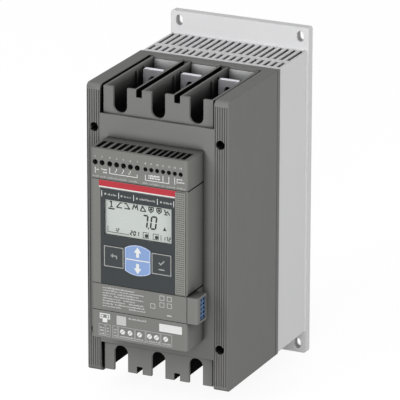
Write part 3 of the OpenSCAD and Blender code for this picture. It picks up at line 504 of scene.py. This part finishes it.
def print_ink(tone):
    """Ink that several prints share: made once for each tone, then found by its name."""
    name = f"{tone}_screen_ink"
    base = getattr(bpy.context.scene.starter_colours, f"{tone}_ink")
    return bpy.data.materials.get(name) or screen_ink(name, base)


class STARTER_OT_heat_sink(Operator):
    """Powder coat for the heat sink"""

    bl_idname = "starter.heat_sink"
    bl_label = "Finish the heat sink"

    def execute(self, context):
        dress("coated_aluminium", powder_coat(context.scene.starter_colours.coat))
        return {"FINISHED"}


class STARTER_OT_housing(Operator):
    """Moulded skin for the housing, the shrouds and the control unit's cases"""

    bl_idname = "starter.housing"
    bl_label = "Finish the housing"

    def execute(self, context):
        # A wider look paints shade on the steps between the cases, which stand out to different depths
        case_shade = [*SHELL_SHADE, (40, 0.5, 1, 0.4)]
        control = context.scene.starter_colours.control
        dress("housing_plastic", nylon("dark_grey"))
        dress("control_plastic", moulded_plastic("mid_grey_moulded_polycarbonate", control, 0.6, 0.025, 0.7,
                                                 shine=0.18, painted_shade=case_shade))
        return {"FINISHED"}


def reshaped(name, node, move, shade_of, shaded_copies):
    """Puts a merged copy of a CAD node in its place, with points moved and some faces in other painted shade.

    shade_of takes a face's centre and normal, and gives 0 for the node's own material or else the
    place of the face's shaded copy in the list, counted from 1.
    """
    source = frame["nodes"][node]
    shape = bmesh.new()
    shape.from_mesh(source.data)
    bmesh.ops.remove_doubles(shape, verts=shape.verts, dist=0.001 * MM)
    for point in shape.verts:
        move(point.co)
    shape.normal_update()
    chosen = [shade_of(face.calc_center_median(), face.normal) for face in shape.faces]
    mesh = bpy.data.meshes.new(name)
    shape.to_mesh(mesh)
    shape.free()
    made = placed(name, mesh, source.data.materials[0], "chassis")
    for finish in shaded_copies:
        mesh.materials.append(finish)
    mesh.polygons.foreach_set("material_index", chosen)
    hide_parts(node)


class STARTER_OT_shells(Operator):
    """Housing and terminal shrouds: fronts, edges and load end as on the real one, and faces with other
    painted shade
    """

    bl_idname = "starter.shells"
    bl_label = "Fit the housing and shrouds"

    # Faces of the CAD nodes that are moved or given other painted shade, as distances from the frame's origin
    edge, rim_inside, pillar, flute_floor = 103 * MM, 52.4 * MM, 53 * MM, 168.5 * MM
    shroud_side, shroud_front, shroud_plate, floor = 50.75 * MM, 166 * MM, 163 * MM, 101 * MM
    groove, groove_half = 17.5 * MM, 2.65 * MM
    near = 0.2 * MM
    # How much of a face's normal lies along an axis where the face looks that way, and at most where not
    facing, turned_away = 0.9, 0.5

    def execute(self, context):
        sizes = context.scene.starter_print
        # Copies of the nylon with other painted shade: a lighter one in the flutes, a much darker one for
        # faces that lie in shade, and a darker one in the chambers
        fluted = nylon("fluted", painted_shade=[(3, 0.1, 0.5, 0.55)])
        deep = nylon("shaded", shine=0.02, painted_shade=[(70, 0.55, 1, 0), (12, 0.5, 0.9, 0)])
        chamber = nylon("chamber", painted_shade=[*SHELL_SHADE, (40, 0.27, 0.5, 0)])

        def move_edge(point):
            if abs(point.z + self.edge) < self.near:
                point.z += sizes.edge_lift

        def move_shroud(point):
            if self.shroud_plate < -point.y < self.shroud_front + self.near:
                point.y -= sizes.shroud_forward
            if abs(abs(point.x) - self.shroud_side) < self.near:
                point.x -= math.copysign(sizes.shroud_room, point.x)
            if point.z < -self.edge - self.near:
                point.z += sizes.end_lift

        def housing_shade(centre, normal):
            if abs(centre.x) > self.pillar and -centre.y > self.flute_floor:
                return 1
            inside = abs(abs(centre.x) - self.rim_inside) < self.near and abs(normal.x) > self.facing
            return 2 if inside else 0

        def unlit(centre, normal):
            side = self.shroud_side - sizes.shroud_room - self.near
            from_groove = abs(abs(centre.x) - self.groove) - self.groove_half
            beside_pillar = abs(centre.x) > side and abs(normal.x) > self.facing
            on_floor = abs(centre.z - self.floor) < self.near and normal.z > self.facing
            in_groove = from_groove < self.near and abs(normal.y) < self.turned_away
            return beside_pillar or on_floor or in_groove

        def line_shade(centre, normal):
            if unlit(centre, normal):
                return 1
            return 2 if -centre.y < self.shroud_plate else 0

        def load_shade(centre, normal):
            return int(-centre.y < self.shroud_plate or unlit(centre, normal))

        reshaped("housing_shell", "main_cover", move_edge, housing_shade, [fluted, deep])
        reshaped("line_shroud_shell", "line_terminal_shroud", move_shroud, line_shade, [deep, chamber])
        reshaped("load_shroud_shell", "load_terminal_shroud", move_shroud, load_shade, [deep])
        return {"FINISHED"}


class STARTER_OT_metal(Operator):
    """Tin plate for the terminal bars and zinc plate for the screws"""

    bl_idname = "starter.metal"
    bl_label = "Finish bars and screws"

    def execute(self, context):
        colours = context.scene.starter_colours
        dress("tinned_copper", plated_metal("tin_plated_copper", colours.tin, 0.5, 14, 0.42))
        dress("zinc_steel", plated_metal("zinc_plated_steel", colours.zinc, 0.4, 1, 0.36))
        return {"FINISHED"}


class STARTER_OT_inner_parts(Operator):
    """Materials of the power parts, boards, fans and terminal blocks"""

    bl_idname = "starter.inner_parts"
    bl_label = "Finish the inner parts"

    def execute(self, context):
        colours = context.scene.starter_colours
        depth = 0.02
        # Slot, material, colour, grain in millimetres and roughness
        for slot, name, base, grain, roughness in (
                ("black_plastic", "black_moulded_polyester", colours.black, 0.5, 0.5),
                ("fan_plastic", "black_fan_polyester", colours.black, 0.5, 0.42),
                ("relay_plastic", "ivory_relay_polyester", colours.ivory, 0.5, 0.4),
                ("sensor_resin", "cast_potting_resin", colours.resin, 2, 0.3),
                ("terminal_plastic", "black_terminal_polyamide", colours.terminal, 0.5, 0.48),
                ("plug_blue", "blue_plug_polyamide", colours.plug, 0.5, 0.42),
                ("key_rubber", "silicone_rubber_mat", colours.black, 0.5, 0.7)):
            dress(slot, moulded_plastic(name, base, grain, depth, roughness))
        dress("circuit_board", solder_mask(colours.board))
        return {"FINISHED"}


class STARTER_OT_panel(Operator):
    """Films, window, display pane, keys and light pipes of the operator panel"""

    bl_idname = "starter.panel"
    bl_label = "Finish the operator panel"

    def execute(self, context):
        colours = context.scene.starter_colours
        dress("dark_film", printed_film("dark_polyester_film", colours.film, 0.42))
        dress("red_film", printed_film("red_polyester_film", colours.red, 0.42))
        dress("dark_key", printed_film("dark_key_film", colours.key_dark, 0.4))
        dress("blue_key", printed_film("pale_blue_key_film", colours.key_blue, 0.4))
        dress("light_pipe", moulded_plastic("milky_light_pipe", colours.lamp, 0.4, 0.005, 0.25))
        dress("display", display_pane(colours.lcd))
        dress("clear_window", clear_window())
        return {"FINISHED"}


class STARTER_OT_panel_print(Operator):
    """White line, field marks and label places on the operator panel's films"""

    bl_idname = "starter.panel_print"
    bl_label = "Print the operator panel"

    def execute(self, context):
        film, strip, lights = Face("panel_film"), Face("title_strip"), Face("status_lights")
        line_height = context.scene.starter_print.white_line / MM
        # Marks, and the start and width of each label place, from the film's left edge
        ticks = [1.3, 16.9, 30.6, 52.4, 67.3]
        labels = [(6.9, 8.0), (21.8, 6.0), (36.0, 14.5), (58.0, 7.5)]
        tick_half, label_height = 2.6, 1.7

        white = Ink(strip)
        white.bar(strip.left, strip.right, strip.bottom, strip.bottom + line_height)
        for tick in ticks:
            x = film.left + tick
            white.line([(x, lights.z - tick_half), (x, lights.z + tick_half)])
        white.piece("panel_white_print", print_ink("white"), "chassis")

        grey = Ink(film)
        for seed, (start, width) in enumerate(labels):
            grey.blocks(film.left + start, lights.z, width, label_height, seed)
        grey.piece("panel_label_print", print_ink("grey"), "chassis")
        return {"FINISHED"}


# Lit segments of the figures that the display shows, in the order: top, upper left, upper right,
# middle, lower left, lower right, bottom
SEGMENTS = {"0": "1110111", "1": "0010010", "2": "1011101", "7": "1010010"}


def display_figure(ink, figure, left, bottom, height, weight=0.135):
    """A slanted seven-segment figure, its weight the stroke's share of its height."""
    width, stroke, gap, slant = 0.42 * height, weight * height, 0.02 * height, 0.12
    half = height / 2

    def bevelled_bar(along, x, z, length):
        h, t = stroke / 2, length - gap
        outline = [(0, 0), (h, -h), (t - h, -h), (t, 0), (t - h, h), (h, h)]
        if along == "z":
            outline = [(-b, a) for a, b in outline]
        points = [(x + a, z + b) for a, b in outline]
        ink.area([(left + a + slant * b, bottom + b) for a, b in points])

    bars = [("x", gap, height, width), ("z", 0, half + gap, half), ("z", width, half + gap, half),
            ("x", gap, half, width), ("z", 0, gap, half), ("z", width, gap, half), ("x", gap, 0, width)]
    for lit, bar in zip(SEGMENTS[figure], bars):
        if lit == "1":
            bevelled_bar(*bar)


class STARTER_OT_display(Operator):
    """Dark segments of the display: a reading, a row of plain symbols and the lower row"""

    bl_idname = "starter.display"
    bl_label = "Draw the display"

    def execute(self, context):
        sizes, window = context.scene.starter_print, Face("display_window")
        ink = Ink(Face("display_module"), 2 * sizes.ink / MM)
        self.reading(ink, window, sizes.digit / MM)
        self.symbols(ink, window)
        self.lower_row(ink, window)
        segment = screen_ink("liquid_crystal_segments", context.scene.starter_colours.segment, 0.05)
        ink.piece("display_segments", segment, "chassis")
        return {"FINISHED"}

    def reading(self, ink, window, digit):
        """Two large figures with a point between them, and a small unit mark."""
        base = window.bottom + 10.1
        display_figure(ink, "7", window.left + 33.1, base, digit)
        display_figure(ink, "0", window.left + 41.15, base, digit)
        ink.disc(window.left + 39.3, base, 0.7, steps=10)
        x, z, half, rise = window.left + 54.2, base + 1.5, 1.6, 1.8
        ink.area([(x - half, z - half), (x + half, z - half), (x, z + rise)])

    def symbols(self, ink, window):
        """Upper row: eight plain symbols, the first one chosen by a bar under it."""
        first, pitch, half, row = window.left + 5.2, 7.3, 2.5, window.top - 4.0
        width, dot_rise, dot_radius = 0.95, 0.4, 1.2
        bar_half, bar_top, bar_bottom = 2.9, 3.6, 4.8
        shield = [(-0.8, 0.9), (0.8, 0.9), (0.8, -0.2), (0, -0.9), (-0.8, -0.2), (-0.8, 0.9)]
        # Strokes of each symbol, in shares of its half size
        strokes = [
            [[(0, -1), (0, 1)], [(-0.5, -1), (0.5, -1)], [(-0.5, 0.5), (0, 1)]],
            [[(-1, -0.9), (-0.6, -0.4), (0.4, 0.8), (1, 0.8)], [(-1, -0.9), (1, -0.9)]],
            [[(-1, 0.8), (-0.3, 0.8), (0.7, -0.6), (1, -0.9)], [(-1, -0.9), (1, -0.9)]],
            [[(-1, -0.9), (-0.4, 0.8), (0.2, -0.2), (0.7, 0.8), (1, -0.9)]],
            [[(-1, -0.9), (-0.2, 0.8), (0.3, 0.1), (1, -0.9)], [(-1, -0.9), (1, -0.9)]],
            [shield],
            [shield],
            [[(-1, 0.8), (-0.4, -0.4), (0.2, 0.2), (1, -0.9)], [(-1, -0.9), (0.2, -0.9)]],
        ]
        for i, symbol in enumerate(strokes):
            for stroke in symbol:
                ink.line([(first + i * pitch + a * half, row + b * half) for a, b in stroke], width)
        for i, symbol in enumerate(strokes):
            if symbol == [shield]:
                ink.disc(first + i * pitch, row + dot_rise, dot_radius, steps=12)
        ink.bar(first - bar_half, first + bar_half, row - bar_bottom, row - bar_top)

    def lower_row(self, ink, window):
        """A pair of axes, three small counts, two framed symbols and a dividing line."""
        left, bottom, thin = window.left, window.bottom, 0.45
        x, z = left + 2.0, bottom + 1.9
        ink.line([(x, bottom + 7.0), (x, z), (left + 21.4, z)], thin)
        # Figures, start from the window's left edge, rise above its lower edge, and height
        counts = [("12", 8.4, 3.1, 2.8), ("201", 22.6, 2.0, 3.6), ("172", 53.0, 1.8, 3.0)]
        spacing, weight = 0.82, 0.3
        for figures, start, rise, height in counts:
            for i, figure in enumerate(figures):
                x = left + start + spacing * height * i
                display_figure(ink, figure, x, bottom + rise, height, weight)
        half, dot_radius = 2.6, 1.6
        for x in (left + 36.8, left + 46.0):
            ink.frame(x - half, x + half, bottom + 1.0, bottom + 1.0 + 2 * half, thin)
            ink.disc(x + 0.7, bottom + 3.2, dot_radius, steps=14)
        ink.line([(left + 50.8, bottom + 1.2), (left + 50.8, bottom + 5.8)], thin)


class STARTER_OT_key_print(Operator):
    """Light grey frames and symbols on the side keys, rims and arrows on the arrow keys"""

    bl_idname = "starter.key_print"
    bl_label = "Print the keys"

    # How far a key's hidden flange reaches past its cap, in millimetres
    flange = 1.5

    def execute(self, context):
        sizes, colours = context.scene.starter_print, context.scene.starter_colours
        # A plain arrow that turns back to the left
        back = [[(2.6, -1.5), (2.6, 1.0), (-2.4, 1.0)], [(-0.8, 2.5), (-2.4, 1.0), (-0.8, -0.5)]]
        # A plain tick, and a short bar below it
        tick = [[(-2.4, 1.4), (-0.8, -0.2), (2.6, 3.2)], [(-2.8, -4.6), (2.8, -4.6)]]
        self.side_key("key_left", back, sizes.key_line / MM)
        self.side_key("key_right", tick, sizes.key_line / MM)
        rim_ink = screen_ink("pale_blue_screen_ink", colours.key_rim)
        self.arrow_key("key_up", 1, rim_ink, sizes)
        self.arrow_key("key_down", -1, rim_ink, sizes)
        return {"FINISHED"}

    def side_key(self, name, symbol, line):
        """A frame round the cap, and a symbol in its middle."""
        key, stroke_width = Face(name), 0.9
        ink = Ink(key)
        ink.frame(key.left, key.right, key.bottom + self.flange, key.top - self.flange, line)
        for stroke in symbol:
            ink.line([(key.x + a, key.z + b) for a, b in stroke], stroke_width)
        ink.piece(f"{name}_print", print_ink("grey"), name)

    def arrow_key(self, name, way, rim_ink, sizes):
        """A pale rim round one half of the pad, and an arrow that points away from the pad's split."""
        key = Face(name)
        split, crown = (key.bottom, key.top) if way > 0 else (key.top, key.bottom)
        crown -= way * self.flange
        rim = Ink(key)
        inset = rim.stroke / 2
        half = (key.right - key.left) / 2 - inset
        radius = sizes.pad_radius / MM - inset
        centre = crown - way * (radius + inset)
        reach = math.asin(half / radius)
        steps = 16
        arc = [(key.x + radius * math.sin(a), centre + way * radius * math.cos(a))
               for a in (reach - 2 * reach * i / steps for i in range(steps + 1))]
        rim.line([(key.x + half, split), *arc, (key.x - half, split)])
        rim.piece(f"{name}_rim", rim_ink, name)

        # The arrow has a broad head and a short shaft, its foot towards the split
        foot, neck, tip, shaft, head = 2.5, 6.6, 11.5, 1.35, 3.4
        outline = [(-shaft, foot), (shaft, foot), (shaft, neck), (head, neck), (0, tip), (-head, neck),
                   (-shaft, neck)]
        arrow = Ink(key)
        arrow.area([(key.x + way * a, split + way * b) for a, b in outline])
        if way > 0:
            # One white line on the upper key, which reaches over most of the split
            most = 0.9
            low = split - most * (split - Face("key_down").top)
            arrow.bar(key.x - half + inset, key.x + half - inset, low, low + sizes.split_line / MM)
        arrow.piece(f"{name}_arrow", print_ink("white"), name)


class STARTER_OT_hood_print(Operator):
    """Terminal numbers, connection lines and label places on the terminal hood"""

    bl_idname = "starter.hood_print"
    bl_label = "Print the terminal hood"

    # Terminals from left to right
    relay = [-40.7, -34.4, -27.3, -21.0, -14.7, -8.4, -2.1]
    signal = [5.4 + 5.35 * i for i in range(7)]

    def execute(self, context):
        hood, height = Face("terminal_hood"), context.scene.starter_print.numeral / MM
        number_drop, small_height, row_height, row_rise = 6.9, 1.5, 1.4, 2.0
        white = Ink(hood)
        for i, x in enumerate(self.relay + self.signal):
            white.numerals(str(i + 1), x, hood.top - number_drop, height)
        self.connections(white)
        # Start, height and width of each small label between the lines
        small = [(-39.4, 65.4, 2.4), (-33.2, 66.0, 2.6), (-33.2, 63.6, 2.6),
                 (8.2, 66.6, 10.0), (8.2, 64.6, 10.0), (35.6, 64.6, 5.0)]
        for seed, (start, z, width) in enumerate(small, 60):
            white.blocks(start, z, width, small_height, seed)
        white.piece("hood_white_print", print_ink("white"), "chassis")

        grey = Ink(hood)
        # Start and width of each label in the row along the hood's lower edge
        row = [(-43.0, 5.0), (-36.2, 5.0), (-29.4, 5.0), (-23.6, 5.4), (-17.4, 5.0), (-9.6, 7.4), (2.6, 5.0),
               (8.6, 5.0), (14.2, 4.0), (19.6, 3.0), (24.6, 7.0), (34.0, 7.0)]
        for seed, (start, width) in enumerate(row, 40):
            grey.blocks(start, hood.bottom + row_rise, width, row_height, seed)
        grey.piece("hood_label_print", print_ink("grey"), "chassis")
        return {"FINISHED"}

    def connections(self, ink):
        """Lines that join the terminals which belong together."""
        relay, signal, low, high = self.relay, self.signal, 63.2, 68.2
        lines = [
            [(relay[0], high - 1), (relay[0], low - 1.2)],
            [(relay[1], high - 1), (relay[1], high - 3)],
            [(relay[2], high), (relay[2], low), (relay[6], low), (relay[6], low + 2.6)],
            [(signal[0], high - 1.4), (signal[0], low - 1), (signal[4], low - 1), (signal[4], high)],
            [(signal[3], low - 1), (signal[3], high)],
            [(signal[5], high), (signal[5], low - 1)],
            [(signal[6] - 3.2, low), (signal[6] - 3.2, high - 1.2), (signal[6] + 1.6, high - 1.2)],
        ]
        lines += [[(x, high), (x, high - 1.4), (x - 1.6, high - 3.6)] for x in relay[3:6]]
        for line in lines:
            ink.line(line)


class STARTER_OT_case_print(Operator):
    """Label places on the link case and the lower case, and the blank white label"""

    bl_idname = "starter.case_print"
    bl_label = "Print the lower cases"

    def execute(self, context):
        case = Face("lower_case")
        self.rating_field(Face("link_case"))
        self.torque_table(case)
        self.blank_label(case, context.scene.starter_colours)
        return {"FINISHED"}

    def rating_field(self, case):
        """Rows of blocks, and plain empty fields at their right."""
        first_drop, pitch, first_start = 2.9, 2.3, 10.6
        first_height, row_height = 1.5, 1.3
        # For each row the width of its first group, then the second one's start and width
        rows = [(15.0, 27.2, 13.0), (13.5, 25.5, 23.0), (11.0, 24.0, 20.0), (8.0, 21.0, 27.0),
                (16.0, 30.0, 10.5), (20.0, 35.0, 13.5), (9.0, 22.0, 26.5), (17.0, 35.0, 14.5)]
        pale = Ink(case)
        seed = 80
        for i, (width, second_start, second_width) in enumerate(rows):
            height = row_height if i else first_height
            for start, length in ((first_start, width), (second_start, second_width)):
                pale.blocks(case.left + start, case.top - first_drop - pitch * i, length, height, seed)
                seed += 1
        half, field_line = 2.2, 0.5
        for across, drop in ((65.4, 4.2), (72.2, 4.2), (65.4, 10.2), (72.2, 10.2), (57.0, 12.4)):
            x, z = case.left + across, case.top - drop
            pale.frame(x - half, x + half, z - half, z + half, field_line)
        pale.bar(case.left + 70.0, case.left + 74.4, case.top - 19.4, case.top - 18.4)
        pale.piece("rating_print", print_ink("pale"), "chassis")

    def torque_table(self, case):
        """Framed cells with blocks, screw heads and a plain terminal symbol."""
        cells = [(-38.2, -32.4), (-31.8, -27.4), (-25.4, -20.6), (-20.0, -5.0), (-4.4, 5.0), (5.6, 18.8),
                 (19.4, 29.6)]
        heads = [-16.2, -9.2, -0.4, 8.9, 15.3, 23.8]
        low, high, head_z, head_r = -80.8, -70.3, -74.7, 2.25
        cell_line, text, first_row, row_pitch, margin, both_margins = 0.3, 1.4, 1.9, 2.7, 1.2, 2.6
        pale = Ink(case)
        for left, right in cells:
            pale.frame(left, right, low, high, cell_line)
            # Cells without screw heads hold three rows
            for i in range(3 if right < heads[0] else 1):
                z = low + first_row + row_pitch * i
                pale.blocks(left + margin, z, right - left - both_margins, text, round(left + z))
        pale.blocks(-10.6, -61.9, 16.0, text, 90)
        pale.bar(-21.6, -12.8, -69.0, -60.9)
        pale.piece("torque_table_print", print_ink("pale"), "chassis")

        white = Ink(case)
        slot_angle = 5
        for x in heads:
            # A screw head as two half discs with a slanting slot between them
            for start in (45, 225):
                white.disc(x, head_z, head_r, start + slot_angle, 180 - 2 * slot_angle, steps=16)
        # A plain terminal: a frame with two discs in it, on a short stem
        x, z, frame_line, disc_radius = -32.5, -63.2, 0.9, 1.0
        white.frame(x - 4.8, x + 4.8, z - 2.4, z + 2.4, frame_line)
        white.bar(x - 2.2, x + 2.2, z - 5.4, z - 2.4)
        for side in (-2.4, 2.4):
            white.disc(x + side, z, disc_radius, steps=12)
        white.piece("torque_symbol_print", print_ink("white"), "chassis")

    def blank_label(self, case, colours):
        """A white paper label with rounded corners."""
        left, right, bottom, top, radius, thick = 17.9, 38.8, -68.5, -61.6, 0.6, 0.15
        corners = [(right - radius, top - radius, 0), (left + radius, top - radius, 90),
                   (left + radius, bottom + radius, 180), (right - radius, bottom + radius, 270)]
        outline = [(x + radius * math.cos(math.radians(start + turn)),
                    z + radius * math.sin(math.radians(start + turn)))
                   for x, z, start in corners for turn in (0, 30, 60, 90)]
        paper = Ink(case, thick)
        paper.area(outline)
        paper.piece("blank_label", screen_ink("white_paper_label", colours.sticker), "chassis")


def grip_tree():
    """Node tree for a thin plate with a field of small blunt pads on a grid, facing the viewer."""
    tree = bpy.data.node_groups.new("grip_pads", "GeometryNodeTree")
    tree.interface.new_socket("Geometry", in_out="OUTPUT", socket_type="NodeSocketGeometry")
    inputs = {"Columns": "NodeSocketInt", "Rows": "NodeSocketInt", "Pitch": "NodeSocketFloat",
              "Pad width": "NodeSocketFloat", "Pad height": "NodeSocketFloat", "Centre": "NodeSocketVector",
              "Base size": "NodeSocketVector", "Base centre": "NodeSocketVector",
              "Material": "NodeSocketMaterial"}
    for name, kind in inputs.items():
        tree.interface.new_socket(name, in_out="INPUT", socket_type=kind)
    given = add(tree, "NodeGroupInput").outputs
    spans = []
    for name in ("Columns", "Rows"):
        steps = add(tree, "ShaderNodeMath", {0: given[name], 1: 1.0}, operation="SUBTRACT")
        spans.append(add(tree, "ShaderNodeMath", {0: steps, 1: given["Pitch"]}, operation="MULTIPLY"))
    grid = add(tree, "GeometryNodeMeshGrid", {"Size X": spans[0], "Size Y": spans[1],
                                              "Vertices X": given["Columns"], "Vertices Y": given["Rows"]})
    # Eight-sided pads almost meet, side to side, and leave a small dark hole between each four of them
    half_side, blunt = math.radians(22.5), 0.96
    to_corner = 0.5 / math.cos(half_side)
    foot = add(tree, "ShaderNodeMath", {0: given["Pad width"], 1: to_corner}, operation="MULTIPLY")
    crown = add(tree, "ShaderNodeMath", {0: foot, 1: blunt}, operation="MULTIPLY")
    pad = add(tree, "GeometryNodeMeshCone", {"Vertices": 8, "Radius Top": crown, "Radius Bottom": foot,
                                             "Depth": given["Pad height"]})
    pads = add(tree, "GeometryNodeInstanceOnPoints",
               {"Points": grid, "Instance": pad, "Rotation": (0, 0, half_side)})
    upright = add(tree, "GeometryNodeTransform", {"Geometry": pads, "Translation": given["Centre"],
                                                  "Rotation": (math.radians(90), 0, 0)})
    plate = add(tree, "GeometryNodeMeshCube", {"Size": given["Base size"]})
    base = add(tree, "GeometryNodeTransform", {"Geometry": plate, "Translation": given["Base centre"]})
    both = add(tree, "GeometryNodeJoinGeometry", {"Geometry": upright})
    tree.links.new(base.outputs["Geometry"], both.inputs["Geometry"])
    real = add(tree, "GeometryNodeRealizeInstances", {"Geometry": both})
    dressed = add(tree, "GeometryNodeSetMaterial", {"Geometry": real, "Material": given["Material"]})
    add(tree, "NodeGroupOutput", {"Geometry": dressed})
    return tree


def grown(name, tree, values):
    """Evaluates a node tree with the given inputs and returns its plain mesh."""
    holder = bpy.data.objects.new(name, bpy.data.meshes.new(name))
    bpy.context.scene.collection.objects.link(holder)
    modifier = holder.modifiers.new(name, "NODES")
    modifier.node_group = tree
    for item in tree.interface.items_tree:
        if item.name in values:
            modifier[item.identifier] = values[item.name]
    mesh = bpy.data.meshes.new_from_object(holder.evaluated_get(bpy.context.evaluated_depsgraph_get()))
    holder.modifiers.remove(modifier)
    bpy.data.objects.remove(holder)
    return mesh


class STARTER_OT_grip(Operator):
    """Field of small pads along the operator panel's right edge"""

    bl_idname = "starter.grip"
    bl_label = "Grow the grip"

    def execute(self, context):
        sizes = context.scene.starter_print
        case, film = Face("panel_case"), Face("panel_film")
        # Free rim above, below and at the right, the first pads' middle from the film, the plate's thickness
        rim, first, thick = 1.2, 1.0, 0.12
        pitch = sizes.grip_pitch / MM
        right, height = case.right - rim, case.top - case.bottom - 2 * rim
        middle = film.right + first + (sizes.grip_columns - 1) * pitch / 2
        # Painted shade darkens the plate between the pads
        plastic = moulded_plastic("light_grey_grip_polycarbonate", context.scene.starter_colours.grip,
                                  0.6, 0.02, 0.7, shine=0.18, painted_shade=[(2, 0.4, 0.9, 0.2)])
        mesh = grown("grip_insert", grip_tree(), {
            "Columns": sizes.grip_columns, "Rows": int(height / pitch), "Pitch": sizes.grip_pitch,
            "Pad width": sizes.grip_pad, "Pad height": sizes.grip_height, "Material": plastic,
            "Centre": Vector((middle, case.front - thick, case.z)) * MM,
            "Base size": Vector((right - film.right, thick, height)) * MM,
            "Base centre": Vector(((film.right + right) / 2, case.front - thick / 2, case.z)) * MM})
        placed("grip_insert", mesh, plastic, "chassis")
        return {"FINISHED"}


class STARTER_OT_stage(Operator):
    """Floor, soft lights, white surroundings and the camera"""

    bl_idname = "starter.stage"
    bl_label = "Set the stage"

    def execute(self, context):
        scene = context.scene
        stage = scene.starter_stage
        scene.view_settings.view_transform = "Standard"
        self.surroundings(scene, stage)
        self.floor(scene, stage)
        self.softbox(scene, "key_light", (-0.9, -2.5, 1.6), 1.3, stage.key)
        self.softbox(scene, "front_light", (0.9, -3.1, 0.7), 1.3, stage.front)
        self.softbox(scene, "side_light", (2.6, -1.2, 0.3), 1.2, stage.side)
        self.camera(scene, stage)
        return {"FINISHED"}

    def seen_as_background(self, tree):
        """One for a ray from the camera, or by way of gloss or glass, and nought for light on the object."""
        ray = add(tree, "ShaderNodeLightPath").outputs
        seen = ray["Is Camera Ray"]
        for way in ("Is Glossy Ray", "Is Transmission Ray"):
            seen = add(tree, "ShaderNodeMath", {0: seen, 1: ray[way]}, operation="MAXIMUM")
        return seen

    def surroundings(self, scene, stage):
        """A white all round, which lights the object at the ambient level."""
        scene.world = bpy.data.worlds.new("white_studio")
        tree = cleared(scene.world)
        level = add(tree, "ShaderNodeMix", {0: self.seen_as_background(tree), 2: stage.ambient, 3: 1.0},
                    data_type="FLOAT")
        light = add(tree, "ShaderNodeBackground", {"Color": (1, 1, 1, 1), "Strength": level})
        add(tree, "ShaderNodeOutputWorld", {"Surface": light})

    def floor(self, scene, stage):
        """A white floor with a share of the object's shadow, clear from below so that the underside shows."""
        half, level, glow = 4.0, CAD_BOX[0].z, 1.3
        corners = [(-half, -half, level), (half, -half, level), (half, half, level), (-half, half, level)]
        mesh = bpy.data.meshes.new("floor")
        mesh.from_pydata(corners, [], [(0, 1, 2, 3)])
        made = bpy.data.materials.new("white_floor")
        tree = cleared(made)
        back = add(tree, "ShaderNodeNewGeometry").outputs["Backfacing"]
        paint = add(tree, "ShaderNodeBsdfDiffuse", {"Color": (0.5, 0.5, 0.5, 1)})
        white = add(tree, "ShaderNodeEmission", {"Color": (1, 1, 1, 1), "Strength": glow})
        clear = add(tree, "ShaderNodeBsdfTransparent")
        share = add(tree, "ShaderNodeMath", {0: self.seen_as_background(tree), 1: 1 - stage.shadow},
                    operation="MULTIPLY")
        front = add(tree, "ShaderNodeMixShader", {0: share, 1: paint, 2: white})
        sides = add(tree, "ShaderNodeMixShader", {0: back, 1: front, 2: clear})
        add(tree, "ShaderNodeOutputMaterial", {"Surface": sides})
        mesh.materials.append(made)
        floor = bpy.data.objects.new("floor", mesh)
        scene.collection.objects.link(floor)

    def softbox(self, scene, name, place, width, power):
        """A round soft light that faces the point the camera looks at."""
        lamp = bpy.data.lights.new(name, "AREA")
        lamp.shape = "DISK"
        lamp.size = width
        lamp.energy = power
        holder = bpy.data.objects.new(name, lamp)
        holder.location = place
        way = Vector(scene.starter_stage.target) - Vector(place)
        holder.rotation_euler = way.to_track_quat("-Z", "Y").to_euler()
        scene.collection.objects.link(holder)

    def camera(self, scene, stage):
        """A pinhole camera that stands at the photo's angle."""
        a, e = stage.azimuth, stage.elevation
        back = Vector((math.sin(a) * math.cos(e), -math.cos(a) * math.cos(e), math.sin(e)))
        right = Vector((math.cos(a), math.sin(a), 0))
        up = back.cross(right)
        c, s = math.cos(stage.roll), math.sin(stage.roll)
        axes = Matrix((c * right + s * up, c * up - s * right, back)).transposed()
        data = bpy.data.cameras.new("camera")
        data.sensor_width = 36
        data.lens = stage.lens
        data.clip_start, data.clip_end = 0.1, 40
        camera = bpy.data.objects.new("camera", data)
        eye = Vector(stage.target) + back * stage.distance
        camera.matrix_world = Matrix.Translation(eye) @ axes.to_4x4()
        scene.collection.objects.link(camera)
        scene.camera = camera


OPERATORS = (
    STARTER_OT_heat_sink, STARTER_OT_housing, STARTER_OT_shells, STARTER_OT_metal, STARTER_OT_inner_parts,
    STARTER_OT_panel, STARTER_OT_panel_print, STARTER_OT_display, STARTER_OT_key_print, STARTER_OT_hood_print,
    STARTER_OT_case_print, STARTER_OT_grip, STARTER_OT_stage,
)


class STARTER_PT_sidebar(Panel):
    """Lists the steps and the values that they use"""

    bl_idname = "STARTER_PT_sidebar"
    bl_label = "Soft starter"
    bl_space_type = "VIEW_3D"
    bl_region_type = "UI"
    bl_category = "Starter"

    def draw(self, context):
        for operator in OPERATORS:
            self.layout.operator(operator.bl_idname)
        for group in GROUPS:
            values = getattr(context.scene, group)
            for name in values.bl_rna.properties.keys():
                if name not in {"rna_type", "name"}:
                    self.layout.prop(values, name)


GROUPS = {"starter_colours": StarterColours, "starter_print": StarterPrint, "starter_stage": StarterStage}
CLASSES = (*GROUPS.values(), *OPERATORS, STARTER_PT_sidebar)


def register():
    for cls in CLASSES:
        bpy.utils.register_class(cls)
    for name, cls in GROUPS.items():
        setattr(bpy.types.Scene, name, PointerProperty(type=cls))


def unregister():
    for name in GROUPS:
        delattr(bpy.types.Scene, name)
    for cls in reversed(CLASSES):
        bpy.utils.unregister_class(cls)


def main():
    """Registers the add-on and runs its steps in order."""
    register()
    for operator in OPERATORS:
        group, name = operator.bl_idname.split(".")
        getattr(getattr(bpy.ops, group), name)()


if __name__ == "__main__":
    main()
